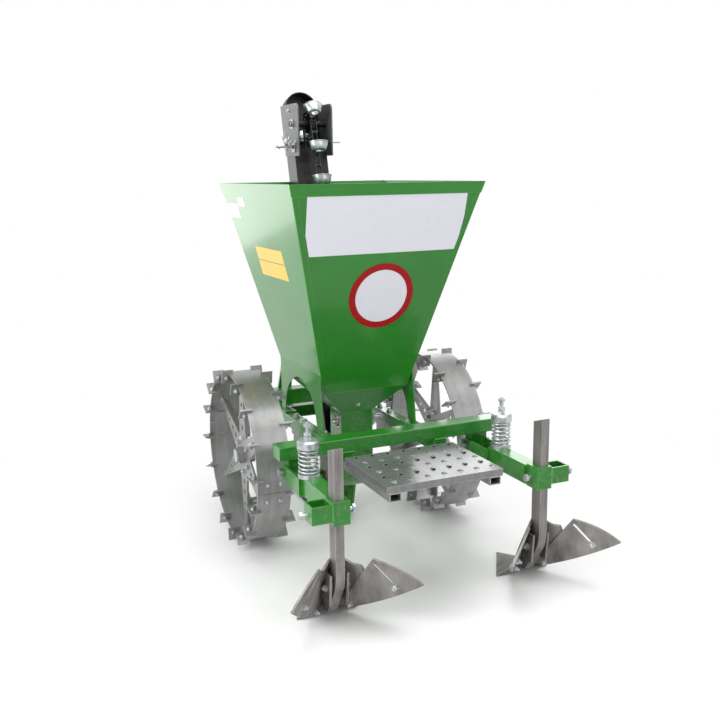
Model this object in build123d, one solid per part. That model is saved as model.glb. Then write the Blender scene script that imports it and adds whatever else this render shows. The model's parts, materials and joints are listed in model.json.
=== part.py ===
# One row potato planter, mounted on a tractor's three point hitch.
# Sizes are in millimetres. X is to the right seen from behind, Y is the way it travels
# and Z is up. The ground is at Z = 0.
# Lengths along Y below are counted from the back face of the rear crossbeam, and the
# whole machine is set back by ORIGIN_Y, so that the origin is under its middle.
from build123d import *
from math import atan, cos, degrees, hypot, pi, radians, sin
import os

# Origin: halfway between the hindmost wing corner and the front of the top link ears
ORIGIN_Y = 184.7

# How far a cutting shape reaches past the faces that it opens
OVER = 5.0

# Frame tubes
BEAM_DEPTH = 60.0
BEAM_HEIGHT = 40.0
BEAM_BOTTOM = 372.0
BEAM_TOP = BEAM_BOTTOM + BEAM_HEIGHT
TUBE = 40.0
LONG_X = 151.0
LONG_TOP = BEAM_BOTTOM
LONG_BOTTOM = LONG_TOP - TUBE
LONG_IN = LONG_X - TUBE / 2
LONG_OUT = LONG_X + TUBE / 2
FRONT_TIE_Y = 570.0
TUBE_CORNER = 4.0

# Three point hitch, the narrow category 1
HITCH_Y = 735.0
HITCH_SIZE = 60.0
HITCH_HALF = 192.0
HITCH_BOTTOM = LONG_BOTTOM
HITCH_TOP = HITCH_BOTTOM + HITCH_SIZE
PIN_Z = HITCH_BOTTOM + HITCH_SIZE / 2
PIN_Y = HITCH_Y + HITCH_SIZE / 2
PIN_R = 11.0
PIN_LENGTH = 75.0
PIN_CHAMFER = 2.0
PIN_COLLAR_R = 22.0
PIN_COLLAR = 8.0
LINCH_R = 5.75
LINCH_FROM_END = 14.0
MAST_RISE = 360.0
TOP_LINK_Z = PIN_Z + MAST_RISE
MAST_EAR_FORWARD = 10.0
TOP_LINK_Y = PIN_Y + MAST_EAR_FORWARD
MAST_HOLE_R = 9.75
MAST_GAP = 52.0
MAST_PLATE = 8.0
MAST_EAR_R = 28.0
MAST_EAR_DROP = 70.0
MAST_EAR_BACK = 40.0
MAST_FOOT_X = 105.0
MAST_BAR = 50.0
MAST_BAR_PLATE = 10.0
MAST_LEG_CLEAR = 6.0
MAST_LEG_TOP = TOP_LINK_Z - MAST_EAR_R - MAST_LEG_CLEAR
MAST_LEG_TIP = 14.0
MAST_LEG_WELD = 90.0

# Ground wheels
WHEEL_Y = 395.0
WHEEL_Z = 281.0
WHEEL_OUT_X = 389.0
WHEEL_WIDTH = 105.0
RIM_R = 270.0
RIM_WALL = 5.0
LUGS = 16
LUG_BELOW_RIM = 29.0
LUG_ABOVE_RIM = 10.95
LUG_LOW = RIM_R - LUG_BELOW_RIM
LUG_HIGH = RIM_R + LUG_ABOVE_RIM
LUG_INSIDE = 16.0
LUG_OVERHANG = 22.0
LUG_PLATE = 5.0
JOINT_ANGLES = (10.0, 190.0)
JOINT_GAP = 2.0
STRAP_REACH = 40.0
STRAP_WIDTH = 60.0
STRAP = 6.0
STRAP_BELOW_RIM = 12.0
STRAP_LOW = RIM_R - STRAP_BELOW_RIM
STRAP_HIGH = STRAP_LOW + STRAP
AXLE_R = 15.0
AXLE_CLEAR = 0.05
AXLE_INSIDE = 12.0
AXLE_HALF = WHEEL_OUT_X - AXLE_INSIDE
STAR_X = 348.0
STAR_PLATE = 6.0
STAR_ARMS = 6
ARM_UP = 90.0
ARM_TIP_TURN = 1.7
ARM_ROOT_R = 69.0
ARM_HOLES = ((90.0, 9.0), (126.0, 8.0), (165.0, 7.0))
ARM_RIB = [(66.0, 32.0), (250.0, 9.0), (250.0, 5.0), (66.0, 28.0)]
ARM_RIB_HEIGHT = 12.0
HUB_R = 27.0
HUB_INWARD = 30.0
HUB_OUTWARD = 22.0
HUB_IN = STAR_X - HUB_INWARD
HUB_OUT = STAR_X + HUB_OUTWARD
NUT_GAP = 1.0
AXLE_NUT_R = 24.0
BEARING_HALF = 18.0
BEARING_R = 32.0
BEARING_FLANGE = 14.0
BEARING_FLANGE_HALF = 45.0
BEARING_NECK_HALF = 28.0

# Hopper, open at the top
SHEET = 3.0
RIM_Z = 1134.0
HEM_HEIGHT = 34.0
HEM = 2.0
FOLD_Z = 560.0
HOPPER_TOP_X = 303.0
HOPPER_FOLD_X = 159.0
HOPPER_REAR_Y = 13.0
REAR_SLOPE = 0.307
HOPPER_FRONT_Y = 709.0
LEAN = 0.25
FUNNEL_TOP_Z = 498.0
FUNNEL_BOTTOM_Z = 409.0
NECK_X = 55.0
NECK_REAR_Y = 283.0
REAR_LEG_Y = 175.0
FRONT_LEG_Y = 530.0
LEG_WIDTH = 55.0
ARCH_R = 147.0
ARCH_Y = 375.0
FOOT_PLATE = 5.0
FOOT_TOE = 5.0
FOOT_HEEL = 8.0
APRON_NOTCH = 14.0
SLIP = 0.5

# Cup elevator
TUBE_X = 58.0
TUBE_GAP = 6.0
DROP_DEPTH = 82.0
DROP_BOTTOM = 150.0
DROP_OPEN_BELOW = 20.0
DROP_OPEN_Z = FUNNEL_BOTTOM_Z - DROP_OPEN_BELOW
TUBE_SLIT = 1.0
LOWER_Z = 226.0
UPPER_Z = 1325.0
TEETH = 6
LINKS_A_SIDE = 30
SPAN = (UPPER_Z - LOWER_Z) * hypot(1, LEAN)
PITCH = SPAN / LINKS_A_SIDE
CHAIN_R = TEETH * PITCH / (2 * pi)
LEAN_ANGLE = degrees(atan(LEAN))
LEAN_COS = cos(atan(LEAN))
ROLLER_R = 5.5
ROLLER_HALF = 7.5
STRIP_X = 7.0
STRIP = 3.0
STRIP_HEIGHT = 10.0
LINKS_A_CUP = 3
CUP_R = 22.0
CUP_FOOT_R = 13.5
CUP_DEPTH = 30.0
CUP_WALL = 2.5
CUP_BACK = 1.0
CUP_BRACKET = (10.0, 12.0, 11.0)
BRACKET_LAP = 1.0
CUP_REACH = STRIP_HEIGHT / 2 + CUP_BACK + 2 * CUP_R
CUP_CLEAR = 6.0
SEAT_GAP = 0.3
SPROCKET_R = CHAIN_R - ROLLER_R - SEAT_GAP
SPROCKET_WIDTH = 8.0
TOOTH_TIP_R = 38.0
TOOTH_ROOT = 14.0
TOOTH_TIP = 6.0
SHAFT_R = 10.0
UPPER_SHAFT_END = 14.0
LOWER_SHAFT_END = 12.0
HEAD_PLATE = 4.0
HEAD_REAR = 56.0
HEAD_BELOW_SHAFT = 85.0
HEAD_BOTTOM = UPPER_Z - HEAD_BELOW_SHAFT
HEAD_LAP = 20.0
HEAD_ABOVE_SHAFT = 65.0
HEAD_TOP = UPPER_Z + HEAD_ABOVE_SHAFT
HEAD_CORNER = 20.0
ARCH_BELOW_TOP = 16.0
ARCH_RISE = HEAD_TOP - HEAD_BOTTOM - ARCH_BELOW_TOP
ARCH_DEPTH = 40.0
ADJUSTER_RISE = 22.0
ADJUSTER_Z = HEAD_BOTTOM + ADJUSTER_RISE
ADJUSTER_REACH = 38.0
ADJUSTER_HALF = 14.0
ADJUSTER_PLATE = 4.0
ADJUSTER_FLANGE = 30.0
AGITATOR_Y = 306.0
AGITATOR_Z = 378.0
AGITATOR_R = 8.0
AGITATOR_LEFT = -78.0
AGITATOR_RIGHT = 98.0
AGITATOR_FLANGE_HALF = 22.0
AGITATOR_FLANGE = 6.0
AGITATOR_BOSS_R = 16.0
AGITATOR_BOSS = 12.0

# Platform behind the hopper
STEP_HALF = 175.0
STEP_FRONT = -31.0
STEP_REAR = -310.0
STEP_TOP = 367.0
STEP_SHEET = 3.0
STEP_LIP = 20.0
RAIL_WIDTH = 34.0
RAIL_HEIGHT = 23.0
RAIL_WALL = 2.5
RAIL_END_WALL = 8.0

# Ridger arms
SHANK_X = 310.0
SHANK_WIDTH = 25.0
SHANK_DEPTH = 40.0
SHANK_REAR_Y = -312.0
SHANK_TOP = 490.0
SHANK_TOP_SLOPE = 14.0
SHANK_KNEE_Z = 155.0
SHANK_BEND_R = 110.0
SHANK_BEND_TURN = 33.0
SHANK_FOOT_Z = 20.0
ARM_X = 300.0
ARM_WIDTH = 50.0
ARM_BOTTOM = 293.0
ARM_TOP = 349.0
BEAM_PAST_ARM = 35.0
BEAM_HALF = ARM_X + ARM_WIDTH / 2 + BEAM_PAST_ARM
ARM_FRONT = -71.0
BOX_WALL = 7.0
BOX_PAD = 8.0
BOX_LAP = 4.0
POCKET_WIDTH = 58.0
POCKET_WALL = 5.0
POCKET_RISE = 8.0
POCKET_SINK = 1.0
PIVOT_Y = 45.0
PIVOT_Z = 326.0
PIVOT_R = 8.0
PIVOT_REACH = 24.0
PIVOT_HEAD_R = 14.0
PIVOT_HEAD = 10.0
LUG_WIDE = 2.0
LUG_FRONT = 15.0
LUG_REAR = 22.0
LUG_ROUND_R = 20.0
EAR_PLATE = 6.0
EAR_GAP = 3.0
EAR_WELD = 9.0
EAR_OUTLINE = [(ARM_FRONT - EAR_WELD, 291.0), (50.0, 302.0), (73.0, 318.0), (73.0, 338.0), (45.0, 346.0),
               (ARM_FRONT - EAR_WELD, 343.0)]
YOKE_TOP = 343.0
CLAMP_R = 6.0
CLAMP_REACH = 16.0
CLAMP_HEAD_R = 11.0
CLAMP_HEAD = 8.0
SPRING_X = 308.0
SPRING_Y = -90.0
SPRING_R = 25.5
WIRE_R = 3.2
SPRING_TURNS = 5
TURN_POINTS = 9
SEAT_R = 30.0
SEAT_HEIGHT = 12.0
CAP_R = 31.0
CAP_BOTTOM = 431.0
CAP_TOP = 454.0
CAP_CHAMFER = 5.0
STUD_R = 6.0
STUD_BELOW_ARM = 22.0
STUD_BOTTOM = ARM_BOTTOM - STUD_BELOW_ARM
STUD_TOP = 505.0
STUD_NUT_R = 11.5
STUD_NUT = 10.0
STUD_NUT_PITCH = 12.0
STUD_NUT_DROP = 14.0
STUD_NUTS = (CAP_TOP, CAP_TOP + STUD_NUT_PITCH, STUD_TOP - STUD_NUT_DROP)
STUD_HOLE_ROOM = 4.0
ANCHOR_HALF = 14.0
ANCHOR_BAR = 8.0
ANCHOR_DROP = 12.0
ANCHOR_TOP = ARM_BOTTOM - ANCHOR_DROP
ANCHOR_PAST_STUD = 18.0
ANCHOR_BEHIND_PIVOT = 10.0
ANCHOR_FRONT = PIVOT_Y - ANCHOR_BEHIND_PIVOT

# Ridger bodies, measured from the middle of the shank
PLATE = 5.0
SHARE_PLATE = 6.0
WING_ORIGIN = (40.0, -236.0, 26.0)
WING_SWEEP = 43.9
WING_TILT = 18.8
WING_FOOT = [(12.0, -5.0), (-4.0, 14.0), (106.0, 183.0)]
WING_BACK = [(106.0, 183.0), (177.0, 162.0), (237.0, 120.0)]
WING_UNDER = [(237.0, 120.0), (120.0, 46.0), (12.0, -5.0)]
WING_SLOT = ((109.0, 163.0), (164.0, 94.0))
SLOT_WIDTH = 9.0
BREAST_OUTLINE = [(-90.0, -6.0), (-30.0, 170.0), (24.0, 162.0), (48.0, 149.0), (112.0, 149.0), (40.0, 2.0),
                  (20.0, -6.0)]
SHARE_NOSE_Y = -72.0
SHARE_TIP = (88.0, -212.0)
SHARE_BACK_Y = -180.0
SHARE_BACK_Z = 30.0
SHARE_WING = (45.0, -228.0)
RIB_OUTLINE = [(-228.0, 66.0), (-297.0, 66.0), (-305.0, 150.0), (-269.0, 150.0)]
RIB_IN = 21.0
RIB_OUT = 27.0
BOSS_R = 12.0
BOSS_YZ = (-275.0, 108.0)

# Furrow opener
OPENER_NOSE_Y = 655.0
OPENER_NOSE_BACK = 60.0
OPENER_NOSE_WALL = 20.0
OPENER_REAR_Y = 450.0
OPENER_TOP = 165.0
OPENER_LOW_X = 52.0
OPENER_TOP_X = 74.0
OPENER_WALL = 6.0
OPENER_SHANK_WIDTH = 16.0
OPENER_SHANK_DEPTH = 60.0
OPENER_SHANK_FOOT = 60.0

SIDES = (("left", -1), ("right", 1))


def block(x0, x1, y0, y1, z0, z1):
    """A box between three pairs of coordinates."""
    size = (abs(x1 - x0), abs(y1 - y0), abs(z1 - z0))
    return Pos((x0 + x1) / 2, (y0 + y1) / 2, (z0 + z1) / 2) * Box(*size)


def rod(axis, radius, a, b, u, v):
    """A round bar from a to b along an axis; u and v are its other two coordinates."""
    bar = Cylinder(radius, abs(b - a))
    if axis == "X":
        return Pos((a + b) / 2, u, v) * Rot(0, 90, 0) * bar
    return Pos(u, v, (a + b) / 2) * bar


def ring(outer, inner, a, b, u, v):
    """A round tube along X."""
    low, high = sorted((a, b))
    return rod("X", outer, low, high, u, v) - rod("X", inner, low - OVER, high + OVER, u, v)


def hexagon(radius, a, b, y, z):
    """A six sided bar from a to b along X."""
    outline = Pos(a, y, z) * Rot(0, 90, 0) * RegularPolygon(radius, 6)
    return extrude(outline, amount=abs(b - a), dir=(1 if b > a else -1, 0, 0))


def flat_faces(points):
    """The flat face through some points, or two triangles if four points aren't in one plane."""
    a, b, c, d = [Vector(*point) for point in points[:4]]
    lift = (b - a).cross(c - a).dot(d - a)
    if len(points) > 4 or abs(lift) < 0.01:
        return [make_face(Polyline(*points, close=True)).face()]
    halves = (points[:3], (points[0], points[2], points[3]))
    return [make_face(Polyline(*half, close=True)).face() for half in halves]


def flat_solid(lower, upper):
    """A solid with flat faces between two outlines that have the same number of corners."""
    faces = flat_faces(lower) + flat_faces(upper)
    for i in range(len(lower)):
        j = (i + 1) % len(lower)
        faces += flat_faces([lower[i], lower[j], upper[j], upper[i]])
    return Solid(Shell(faces))


def side_plate(points, x0, x1):
    """A flat plate cut from an outline of (y, z) points, from x0 to x1."""
    outline = Plane.YZ * make_face(Polyline(*points, close=True))
    return Pos(x0, 0, 0) * extrude(outline, amount=x1 - x0, dir=(1, 0, 0))


def rear_y(z):
    """Outer face of the hopper's rear wall at height z."""
    return HOPPER_REAR_Y + REAR_SLOPE * (RIM_Z - z)


def front_y(z):
    """Outer face of the hopper's front wall at height z."""
    return HOPPER_FRONT_Y - LEAN * (RIM_Z - z)


def wall_x(z):
    """Outer face of the hopper's side walls at height z."""
    share = (RIM_Z - z) / (RIM_Z - FOLD_Z)
    return HOPPER_TOP_X + (HOPPER_FOLD_X - HOPPER_TOP_X) * share


def tube_front(z):
    """Outer front face of the drop tube at height z."""
    return front_y(z) - SHEET - TUBE_GAP


def axis_y(z):
    """Middle of the elevator, between the two runs of its chain, at height z."""
    return tube_front(z) - (CUP_REACH + CUP_CLEAR + SHEET + CHAIN_R) / LEAN_COS


def chain_frame(z):
    """Place on the elevator's axis at height z, with Z along the chain and Y to its front."""
    return Pos(0, axis_y(z), z) * Rot(-LEAN_ANGLE, 0, 0)


def leaning_box(half, front, back, z0, z1):
    """A box that leans with the drop tube; front and back are counted from its front face."""
    low = [(-half, tube_front(z0) - back, z0), (half, tube_front(z0) - back, z0),
           (half, tube_front(z0) - front, z0), (-half, tube_front(z0) - front, z0)]
    shift = tube_front(z1) - tube_front(z0)
    return flat_solid(low, [(x, y + shift, z1) for x, y, _ in low])


# Frame

def rear_crossbeam():
    bar = block(-BEAM_HALF, BEAM_HALF, 0, BEAM_DEPTH, BEAM_BOTTOM, BEAM_TOP)
    return fillet(bar.edges().filter_by(Axis.X), TUBE_CORNER)


def longitudinal(side):
    bar = block(side * LONG_IN, side * LONG_OUT, 0, HITCH_Y, LONG_BOTTOM, LONG_TOP)
    return fillet(bar.edges().filter_by(Axis.Y), TUBE_CORNER)


def front_tie():
    bar = block(-LONG_IN, LONG_IN, FRONT_TIE_Y, FRONT_TIE_Y + TUBE, LONG_BOTTOM, LONG_TOP)
    return fillet(bar.edges().filter_by(Axis.X), TUBE_CORNER)


def hitch_beam():
    bar = block(-HITCH_HALF, HITCH_HALF, HITCH_Y, HITCH_Y + HITCH_SIZE, HITCH_BOTTOM, HITCH_TOP)
    return fillet(bar.edges().filter_by(Axis.X), TUBE_CORNER)


def lower_pin(side):
    inner = side * HITCH_HALF
    shoulder = side * (HITCH_HALF + PIN_COLLAR)
    tip = side * (HITCH_HALF + PIN_COLLAR + PIN_LENGTH)
    pin = rod("X", PIN_R, shoulder, tip, PIN_Y, PIN_Z)
    pin = chamfer(pin.edges().sort_by(Axis.X)[-1 if side > 0 else 0], PIN_CHAMFER)
    pin += rod("X", PIN_COLLAR_R, inner, shoulder, PIN_Y, PIN_Z)
    linch_x = tip - side * LINCH_FROM_END
    return pin - rod("Z", LINCH_R, PIN_Z - PIN_COLLAR_R, PIN_Z + PIN_COLLAR_R, linch_x, PIN_Y)


def mast_leg(side):
    """Flat bar from the hitch beam up to the outside of an ear."""
    rise = MAST_LEG_TOP - HITCH_TOP
    top_x = side * (MAST_GAP / 2 + MAST_PLATE)
    foot_x = side * MAST_FOOT_X
    wide = side * MAST_BAR * hypot(MAST_FOOT_X - MAST_GAP / 2, rise) / rise
    leg = [(foot_x - wide, HITCH_TOP), (foot_x, HITCH_TOP), (top_x + side * MAST_LEG_TIP, MAST_LEG_TOP),
           (top_x, MAST_LEG_TOP), (top_x, MAST_LEG_TOP - MAST_LEG_WELD)]
    face = Plane.XZ * make_face(Polyline(*leg, close=True))
    return Pos(0, PIN_Y + MAST_BAR_PLATE / 2, 0) * extrude(face, amount=MAST_BAR_PLATE, dir=(0, -1, 0))


def mast_ears():
    """Two ears with the top link's hole, and the plate that joins them at the back."""
    low = TOP_LINK_Z - MAST_EAR_DROP
    high = TOP_LINK_Z + MAST_EAR_R
    back = PIN_Y - MAST_EAR_BACK
    ears = block(-MAST_GAP / 2 - MAST_PLATE, MAST_GAP / 2 + MAST_PLATE, back, back + MAST_PLATE, low, high)
    for _, side in SIDES:
        x0 = side * MAST_GAP / 2
        x1 = side * (MAST_GAP / 2 + MAST_PLATE)
        ears += block(x0, x1, back, PIN_Y, low, high)
        ears += block(x0, x1, PIN_Y, TOP_LINK_Y, TOP_LINK_Z - MAST_EAR_R, high)
        ears += rod("X", MAST_EAR_R, x0, x1, TOP_LINK_Y, TOP_LINK_Z)
    return ears - rod("X", MAST_HOLE_R, -MAST_GAP, MAST_GAP, TOP_LINK_Y, TOP_LINK_Z)


# Wheels

def axle():
    return rod("X", AXLE_R, -AXLE_HALF, AXLE_HALF, WHEEL_Y, WHEEL_Z)


def bearing_block(side):
    x0 = side * (LONG_X - BEARING_HALF)
    x1 = side * (LONG_X + BEARING_HALF)
    flange_z = LONG_BOTTOM - BEARING_FLANGE
    body = block(x0, x1, WHEEL_Y - BEARING_FLANGE_HALF, WHEEL_Y + BEARING_FLANGE_HALF, flange_z, LONG_BOTTOM)
    body += rod("X", BEARING_R, x0, x1, WHEEL_Y, WHEEL_Z)
    body += block(x0, x1, WHEEL_Y - BEARING_NECK_HALF, WHEEL_Y + BEARING_NECK_HALF, WHEEL_Z, flange_z)
    return body - rod("X", AXLE_R, x0 - side * OVER, x1 + side * OVER, WHEEL_Y, WHEEL_Z)


def wheel_rim(side):
    """A rolled band in two halves joined by straps, with a row of lugs along each edge."""
    x_out = side * WHEEL_OUT_X
    x_in = side * (WHEEL_OUT_X - WHEEL_WIDTH)
    x_mid = (x_out + x_in) / 2
    rim = ring(RIM_R, RIM_R - RIM_WALL, x_in, x_out, 0, 0)
    more = []
    for angle in JOINT_ANGLES:
        rim -= Rot(angle, 0, 0) * block(x_in - side * OVER, x_out + side * OVER, RIM_R - RIM_WALL - OVER,
                                        RIM_R + OVER, -JOINT_GAP / 2, JOINT_GAP / 2)
        more.append(Rot(angle, 0, 0) * block(x_mid - STRAP_WIDTH / 2, x_mid + STRAP_WIDTH / 2, STRAP_LOW,
                                             STRAP_HIGH, -STRAP_REACH, STRAP_REACH))
    for edge, outward, phase in ((x_out, side, 0.0), (x_in, -side, 0.5)):
        for i in range(LUGS):
            lug = block(edge - outward * LUG_INSIDE, edge + outward * LUG_OVERHANG, LUG_LOW, LUG_HIGH,
                        -LUG_PLATE / 2, LUG_PLATE / 2)
            more.append(Rot(360.0 / LUGS * (i + phase), 0, 0) * lug)
    return Pos(0, WHEEL_Y, WHEEL_Z) * (rim + more)


def wheel_star(side):
    """Six pierced arms in one plate, each with a rib, on a hub that turns on the axle."""
    x0 = side * (STAR_X - STAR_PLATE / 2)
    x1 = side * (STAR_X + STAR_PLATE / 2)
    step = 360.0 / STAR_ARMS
    reach = RIM_R - RIM_WALL
    points = []
    ribs = []
    holes = [rod("X", AXLE_R + AXLE_CLEAR, side * (HUB_IN - OVER), side * (HUB_OUT + OVER), 0, 0)]
    for i in range(STAR_ARMS):
        arm = ARM_UP + step * i
        for turn, r in ((-ARM_TIP_TURN, reach), (ARM_TIP_TURN, reach), (step / 2, ARM_ROOT_R)):
            points.append((r * cos(radians(arm + turn)), r * sin(radians(arm + turn))))
        ribs.append(Rot(arm, 0, 0) * side_plate(ARM_RIB, x0, x0 - side * ARM_RIB_HEIGHT))
        for distance, radius in ARM_HOLES:
            holes.append(Rot(arm, 0, 0) * rod("X", radius, x0 - side * OVER, x1 + side * OVER, distance, 0))
    hub = rod("X", HUB_R, side * HUB_IN, side * HUB_OUT, 0, 0)
    star = side_plate(points, x0, x1) + ([hub] + ribs)
    return Pos(0, WHEEL_Y, WHEEL_Z) * (star - holes)


def axle_nut(side):
    nut = hexagon(AXLE_NUT_R, side * (HUB_OUT + NUT_GAP), side * AXLE_HALF, WHEEL_Y, WHEEL_Z)
    return nut - rod("X", AXLE_R, side * HUB_OUT, side * (AXLE_HALF + OVER), WHEEL_Y, WHEEL_Z)


# Hopper

def corners(z, inset):
    """The four corners of the hopper at height z, moved in from its outer faces."""
    x = wall_x(z) - inset
    return [(-x, rear_y(z) + inset, z), (x, rear_y(z) + inset, z),
            (x, front_y(z) - inset, z), (-x, front_y(z) - inset, z)]


def mitred_wall(a, b, low_z, outside, inside):
    """A strip of wall from low_z to the rim between corners a and b."""
    rings = []
    for z in (low_z, RIM_Z):
        outer = corners(z, outside)
        inner = corners(z, inside)
        rings.append([outer[a], outer[b], inner[b], inner[a]])
    return flat_solid(*rings)


def hopper_wall(a, b):
    """One wall of the hopper, with the hem along its rim."""
    return mitred_wall(a, b, FUNNEL_TOP_Z, 0, SHEET) + mitred_wall(a, b, RIM_Z - HEM_HEIGHT, -HEM, SHEET)


def side_panel(side):
    """A side wall with the apron below its fold, cut out as an arch between two feet."""
    wall = hopper_wall(1, 2) if side > 0 else hopper_wall(3, 0)
    notch_z = FOLD_Z - APRON_NOTCH
    rear_leg = (REAR_LEG_Y, REAR_LEG_Y + LEG_WIDTH)
    front_leg = (FRONT_LEG_Y - LEG_WIDTH / 2, FRONT_LEG_Y + LEG_WIDTH / 2)
    apron = [(rear_y(notch_z) + SHEET + SLIP, FOLD_Z), (front_y(notch_z) - SHEET - SLIP, FOLD_Z),
             (front_leg[1], LONG_TOP), (front_leg[0], LONG_TOP),
             (rear_leg[1], LONG_TOP), (rear_leg[0], LONG_TOP)]
    legs = side_plate(apron, side * (HOPPER_FOLD_X - SHEET), side * HOPPER_FOLD_X)
    legs -= rod("X", ARCH_R, 0, side * HOPPER_TOP_X, ARCH_Y, LONG_TOP)
    foot_in = min(LONG_IN, HOPPER_FOLD_X - SHEET)
    foot_out = max(LONG_OUT, HOPPER_FOLD_X)
    feet = []
    for y0, y1 in ((rear_leg[0] - FOOT_TOE, rear_leg[1] + FOOT_HEEL),
                   (front_leg[0] - FOOT_HEEL, front_leg[1] + FOOT_TOE)):
        feet.append(block(side * foot_in, side * foot_out, y0, y1, LONG_TOP, LONG_TOP + FOOT_PLATE))
    return wall + [legs] + feet


def funnel():
    """The four walls under the hopper, which lead to the neck and let the drop tube through."""
    neck_front = tube_front(FUNNEL_BOTTOM_Z) - DROP_DEPTH - TUBE_SLIT
    shells = []
    for inset in (0, SHEET):
        x = NECK_X - inset
        y0 = NECK_REAR_Y + inset
        y1 = neck_front - inset
        foot = [(-x, y0, FUNNEL_BOTTOM_Z), (x, y0, FUNNEL_BOTTOM_Z), (x, y1, FUNNEL_BOTTOM_Z),
                (-x, y1, FUNNEL_BOTTOM_Z)]
        shells.append(flat_solid(foot, corners(FUNNEL_TOP_Z, inset)))
    return shells[0] - shells[1] - leaning_box(TUBE_X + TUBE_SLIT, -TUBE_SLIT, DROP_DEPTH + TUBE_SLIT,
                                              DROP_BOTTOM, UPPER_Z)


def elevator_boot():
    """Housing round the lower sprocket: open in front, round at the bottom."""
    cy = axis_y(LOWER_Z)
    outer_r = cy - NECK_REAR_Y
    inner_x = NECK_X - SHEET
    shell = rod("X", outer_r, -NECK_X, NECK_X, cy, LOWER_Z)
    shell += block(-NECK_X, NECK_X, NECK_REAR_Y, cy, LOWER_Z, FUNNEL_BOTTOM_Z)
    hollow = rod("X", outer_r - SHEET, -inner_x, inner_x, cy, LOWER_Z)
    hollow += block(-inner_x, inner_x, NECK_REAR_Y + SHEET, cy + OVER, LOWER_Z, FUNNEL_BOTTOM_Z + OVER)
    shell -= hollow
    shell -= leaning_box(HOPPER_FOLD_X, -HOPPER_FOLD_X, DROP_DEPTH + TUBE_SLIT, 0, FUNNEL_TOP_Z)
    for y, z, r in ((cy, LOWER_Z, SHAFT_R), (WHEEL_Y, WHEEL_Z, AXLE_R), (AGITATOR_Y, AGITATOR_Z, AGITATOR_R)):
        shell -= rod("X", r, -HOPPER_FOLD_X, HOPPER_FOLD_X, y, z)
    return shell


def drop_tube():
    """The tube that the cups come down in, open behind where it joins the boot."""
    inner_x = TUBE_X - SHEET
    tube = leaning_box(TUBE_X, 0, DROP_DEPTH, DROP_BOTTOM, HEAD_BOTTOM)
    tube -= leaning_box(inner_x, SHEET, DROP_DEPTH - SHEET, DROP_BOTTOM - OVER, HEAD_BOTTOM + OVER)
    tube -= leaning_box(inner_x, SHEET, DROP_DEPTH + OVER, DROP_BOTTOM - OVER, DROP_OPEN_Z)
    for y, z, r in ((axis_y(LOWER_Z), LOWER_Z, SHAFT_R), (WHEEL_Y, WHEEL_Z, AXLE_R)):
        tube -= rod("X", r, -HOPPER_FOLD_X, HOPPER_FOLD_X, y, z)
    return tube


def agitator_shaft():
    return rod("X", AGITATOR_R, AGITATOR_LEFT, AGITATOR_RIGHT, AGITATOR_Y, AGITATOR_Z)


def agitator_bearing(side):
    face = side * NECK_X
    half = AGITATOR_FLANGE_HALF
    body = block(face, face + side * AGITATOR_FLANGE, AGITATOR_Y - half, AGITATOR_Y + half,
                 AGITATOR_Z - half, AGITATOR_Z + half)
    body += rod("X", AGITATOR_BOSS_R, face, face + side * AGITATOR_BOSS, AGITATOR_Y, AGITATOR_Z)
    return body - rod("X", AGITATOR_R, 0, side * HOPPER_FOLD_X, AGITATOR_Y, AGITATOR_Z)


def arch_outline(inset):
    """A tongue with a half round top, drawn from its foot upwards."""
    half = TUBE_X - inset
    return Pos(0, ARCH_RISE / 2) * Rectangle(2 * half, ARCH_RISE) + Pos(0, ARCH_RISE) * Circle(half)


def hood():
    """Round topped front of the elevator's head, with an edge turned back all round it."""
    foot = Plane(origin=(0, tube_front(HEAD_BOTTOM), HEAD_BOTTOM), x_dir=(1, 0, 0), z_dir=(0, -1, LEAN))
    wall = extrude(foot * arch_outline(0), amount=SHEET)
    inner = Pos(0, -OVER) * arch_outline(SHEET) + arch_outline(SHEET)
    edge = extrude(foot * (arch_outline(0) - inner), amount=ARCH_DEPTH)
    return wall + edge


def head_plate(side):
    """Side plate of the head, which holds the upper shaft."""
    cy = axis_y(UPPER_Z)
    rear = cy - HEAD_REAR
    x0 = side * (TUBE_X + SEAT_GAP)
    low = HEAD_BOTTOM - HEAD_LAP
    outline = [(rear, low), (tube_front(low), low), (tube_front(HEAD_TOP), HEAD_TOP), (rear, HEAD_TOP)]
    plate = side_plate(outline, x0, x0 + side * HEAD_PLATE)
    corner = plate.edges().filter_by(Axis.X).sort_by_distance((x0, rear, HEAD_TOP))[0]
    plate = fillet(corner, HEAD_CORNER)
    return plate - rod("X", SHAFT_R, 0, side * HOPPER_FOLD_X, cy, UPPER_Z)


def adjuster_bracket(side):
    """Angle on a head plate that the chain's tension screw stands on."""
    x0 = side * (TUBE_X + SEAT_GAP + HEAD_PLATE)
    y0 = axis_y(ADJUSTER_Z) - ADJUSTER_HALF
    y1 = axis_y(ADJUSTER_Z) + ADJUSTER_HALF
    shelf = block(x0, x0 + side * ADJUSTER_REACH, y0, y1, ADJUSTER_Z, ADJUSTER_Z + ADJUSTER_PLATE)
    return shelf + block(x0, x0 + side * ADJUSTER_PLATE, y0, y1, ADJUSTER_Z - ADJUSTER_FLANGE, ADJUSTER_Z)


def sprocket(z, half):
    """Toothed wheel on its shaft, with the teeth between the chain's rollers."""
    x1 = SPROCKET_WIDTH / 2
    root = SPROCKET_R - ROLLER_R
    tooth = side_plate([(root, -TOOTH_ROOT / 2), (TOOTH_TIP_R, -TOOTH_TIP / 2), (TOOTH_TIP_R, TOOTH_TIP / 2),
                        (root, TOOTH_ROOT / 2)], -x1, x1)
    teeth = [Rot(360.0 / TEETH * (i + 0.5), 0, 0) * tooth for i in range(TEETH)]
    shaft = rod("X", SHAFT_R, -half, half, 0, 0)
    return chain_frame(z) * (rod("X", SPROCKET_R, -x1, x1, 0, 0) + (teeth + [shaft]))


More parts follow.
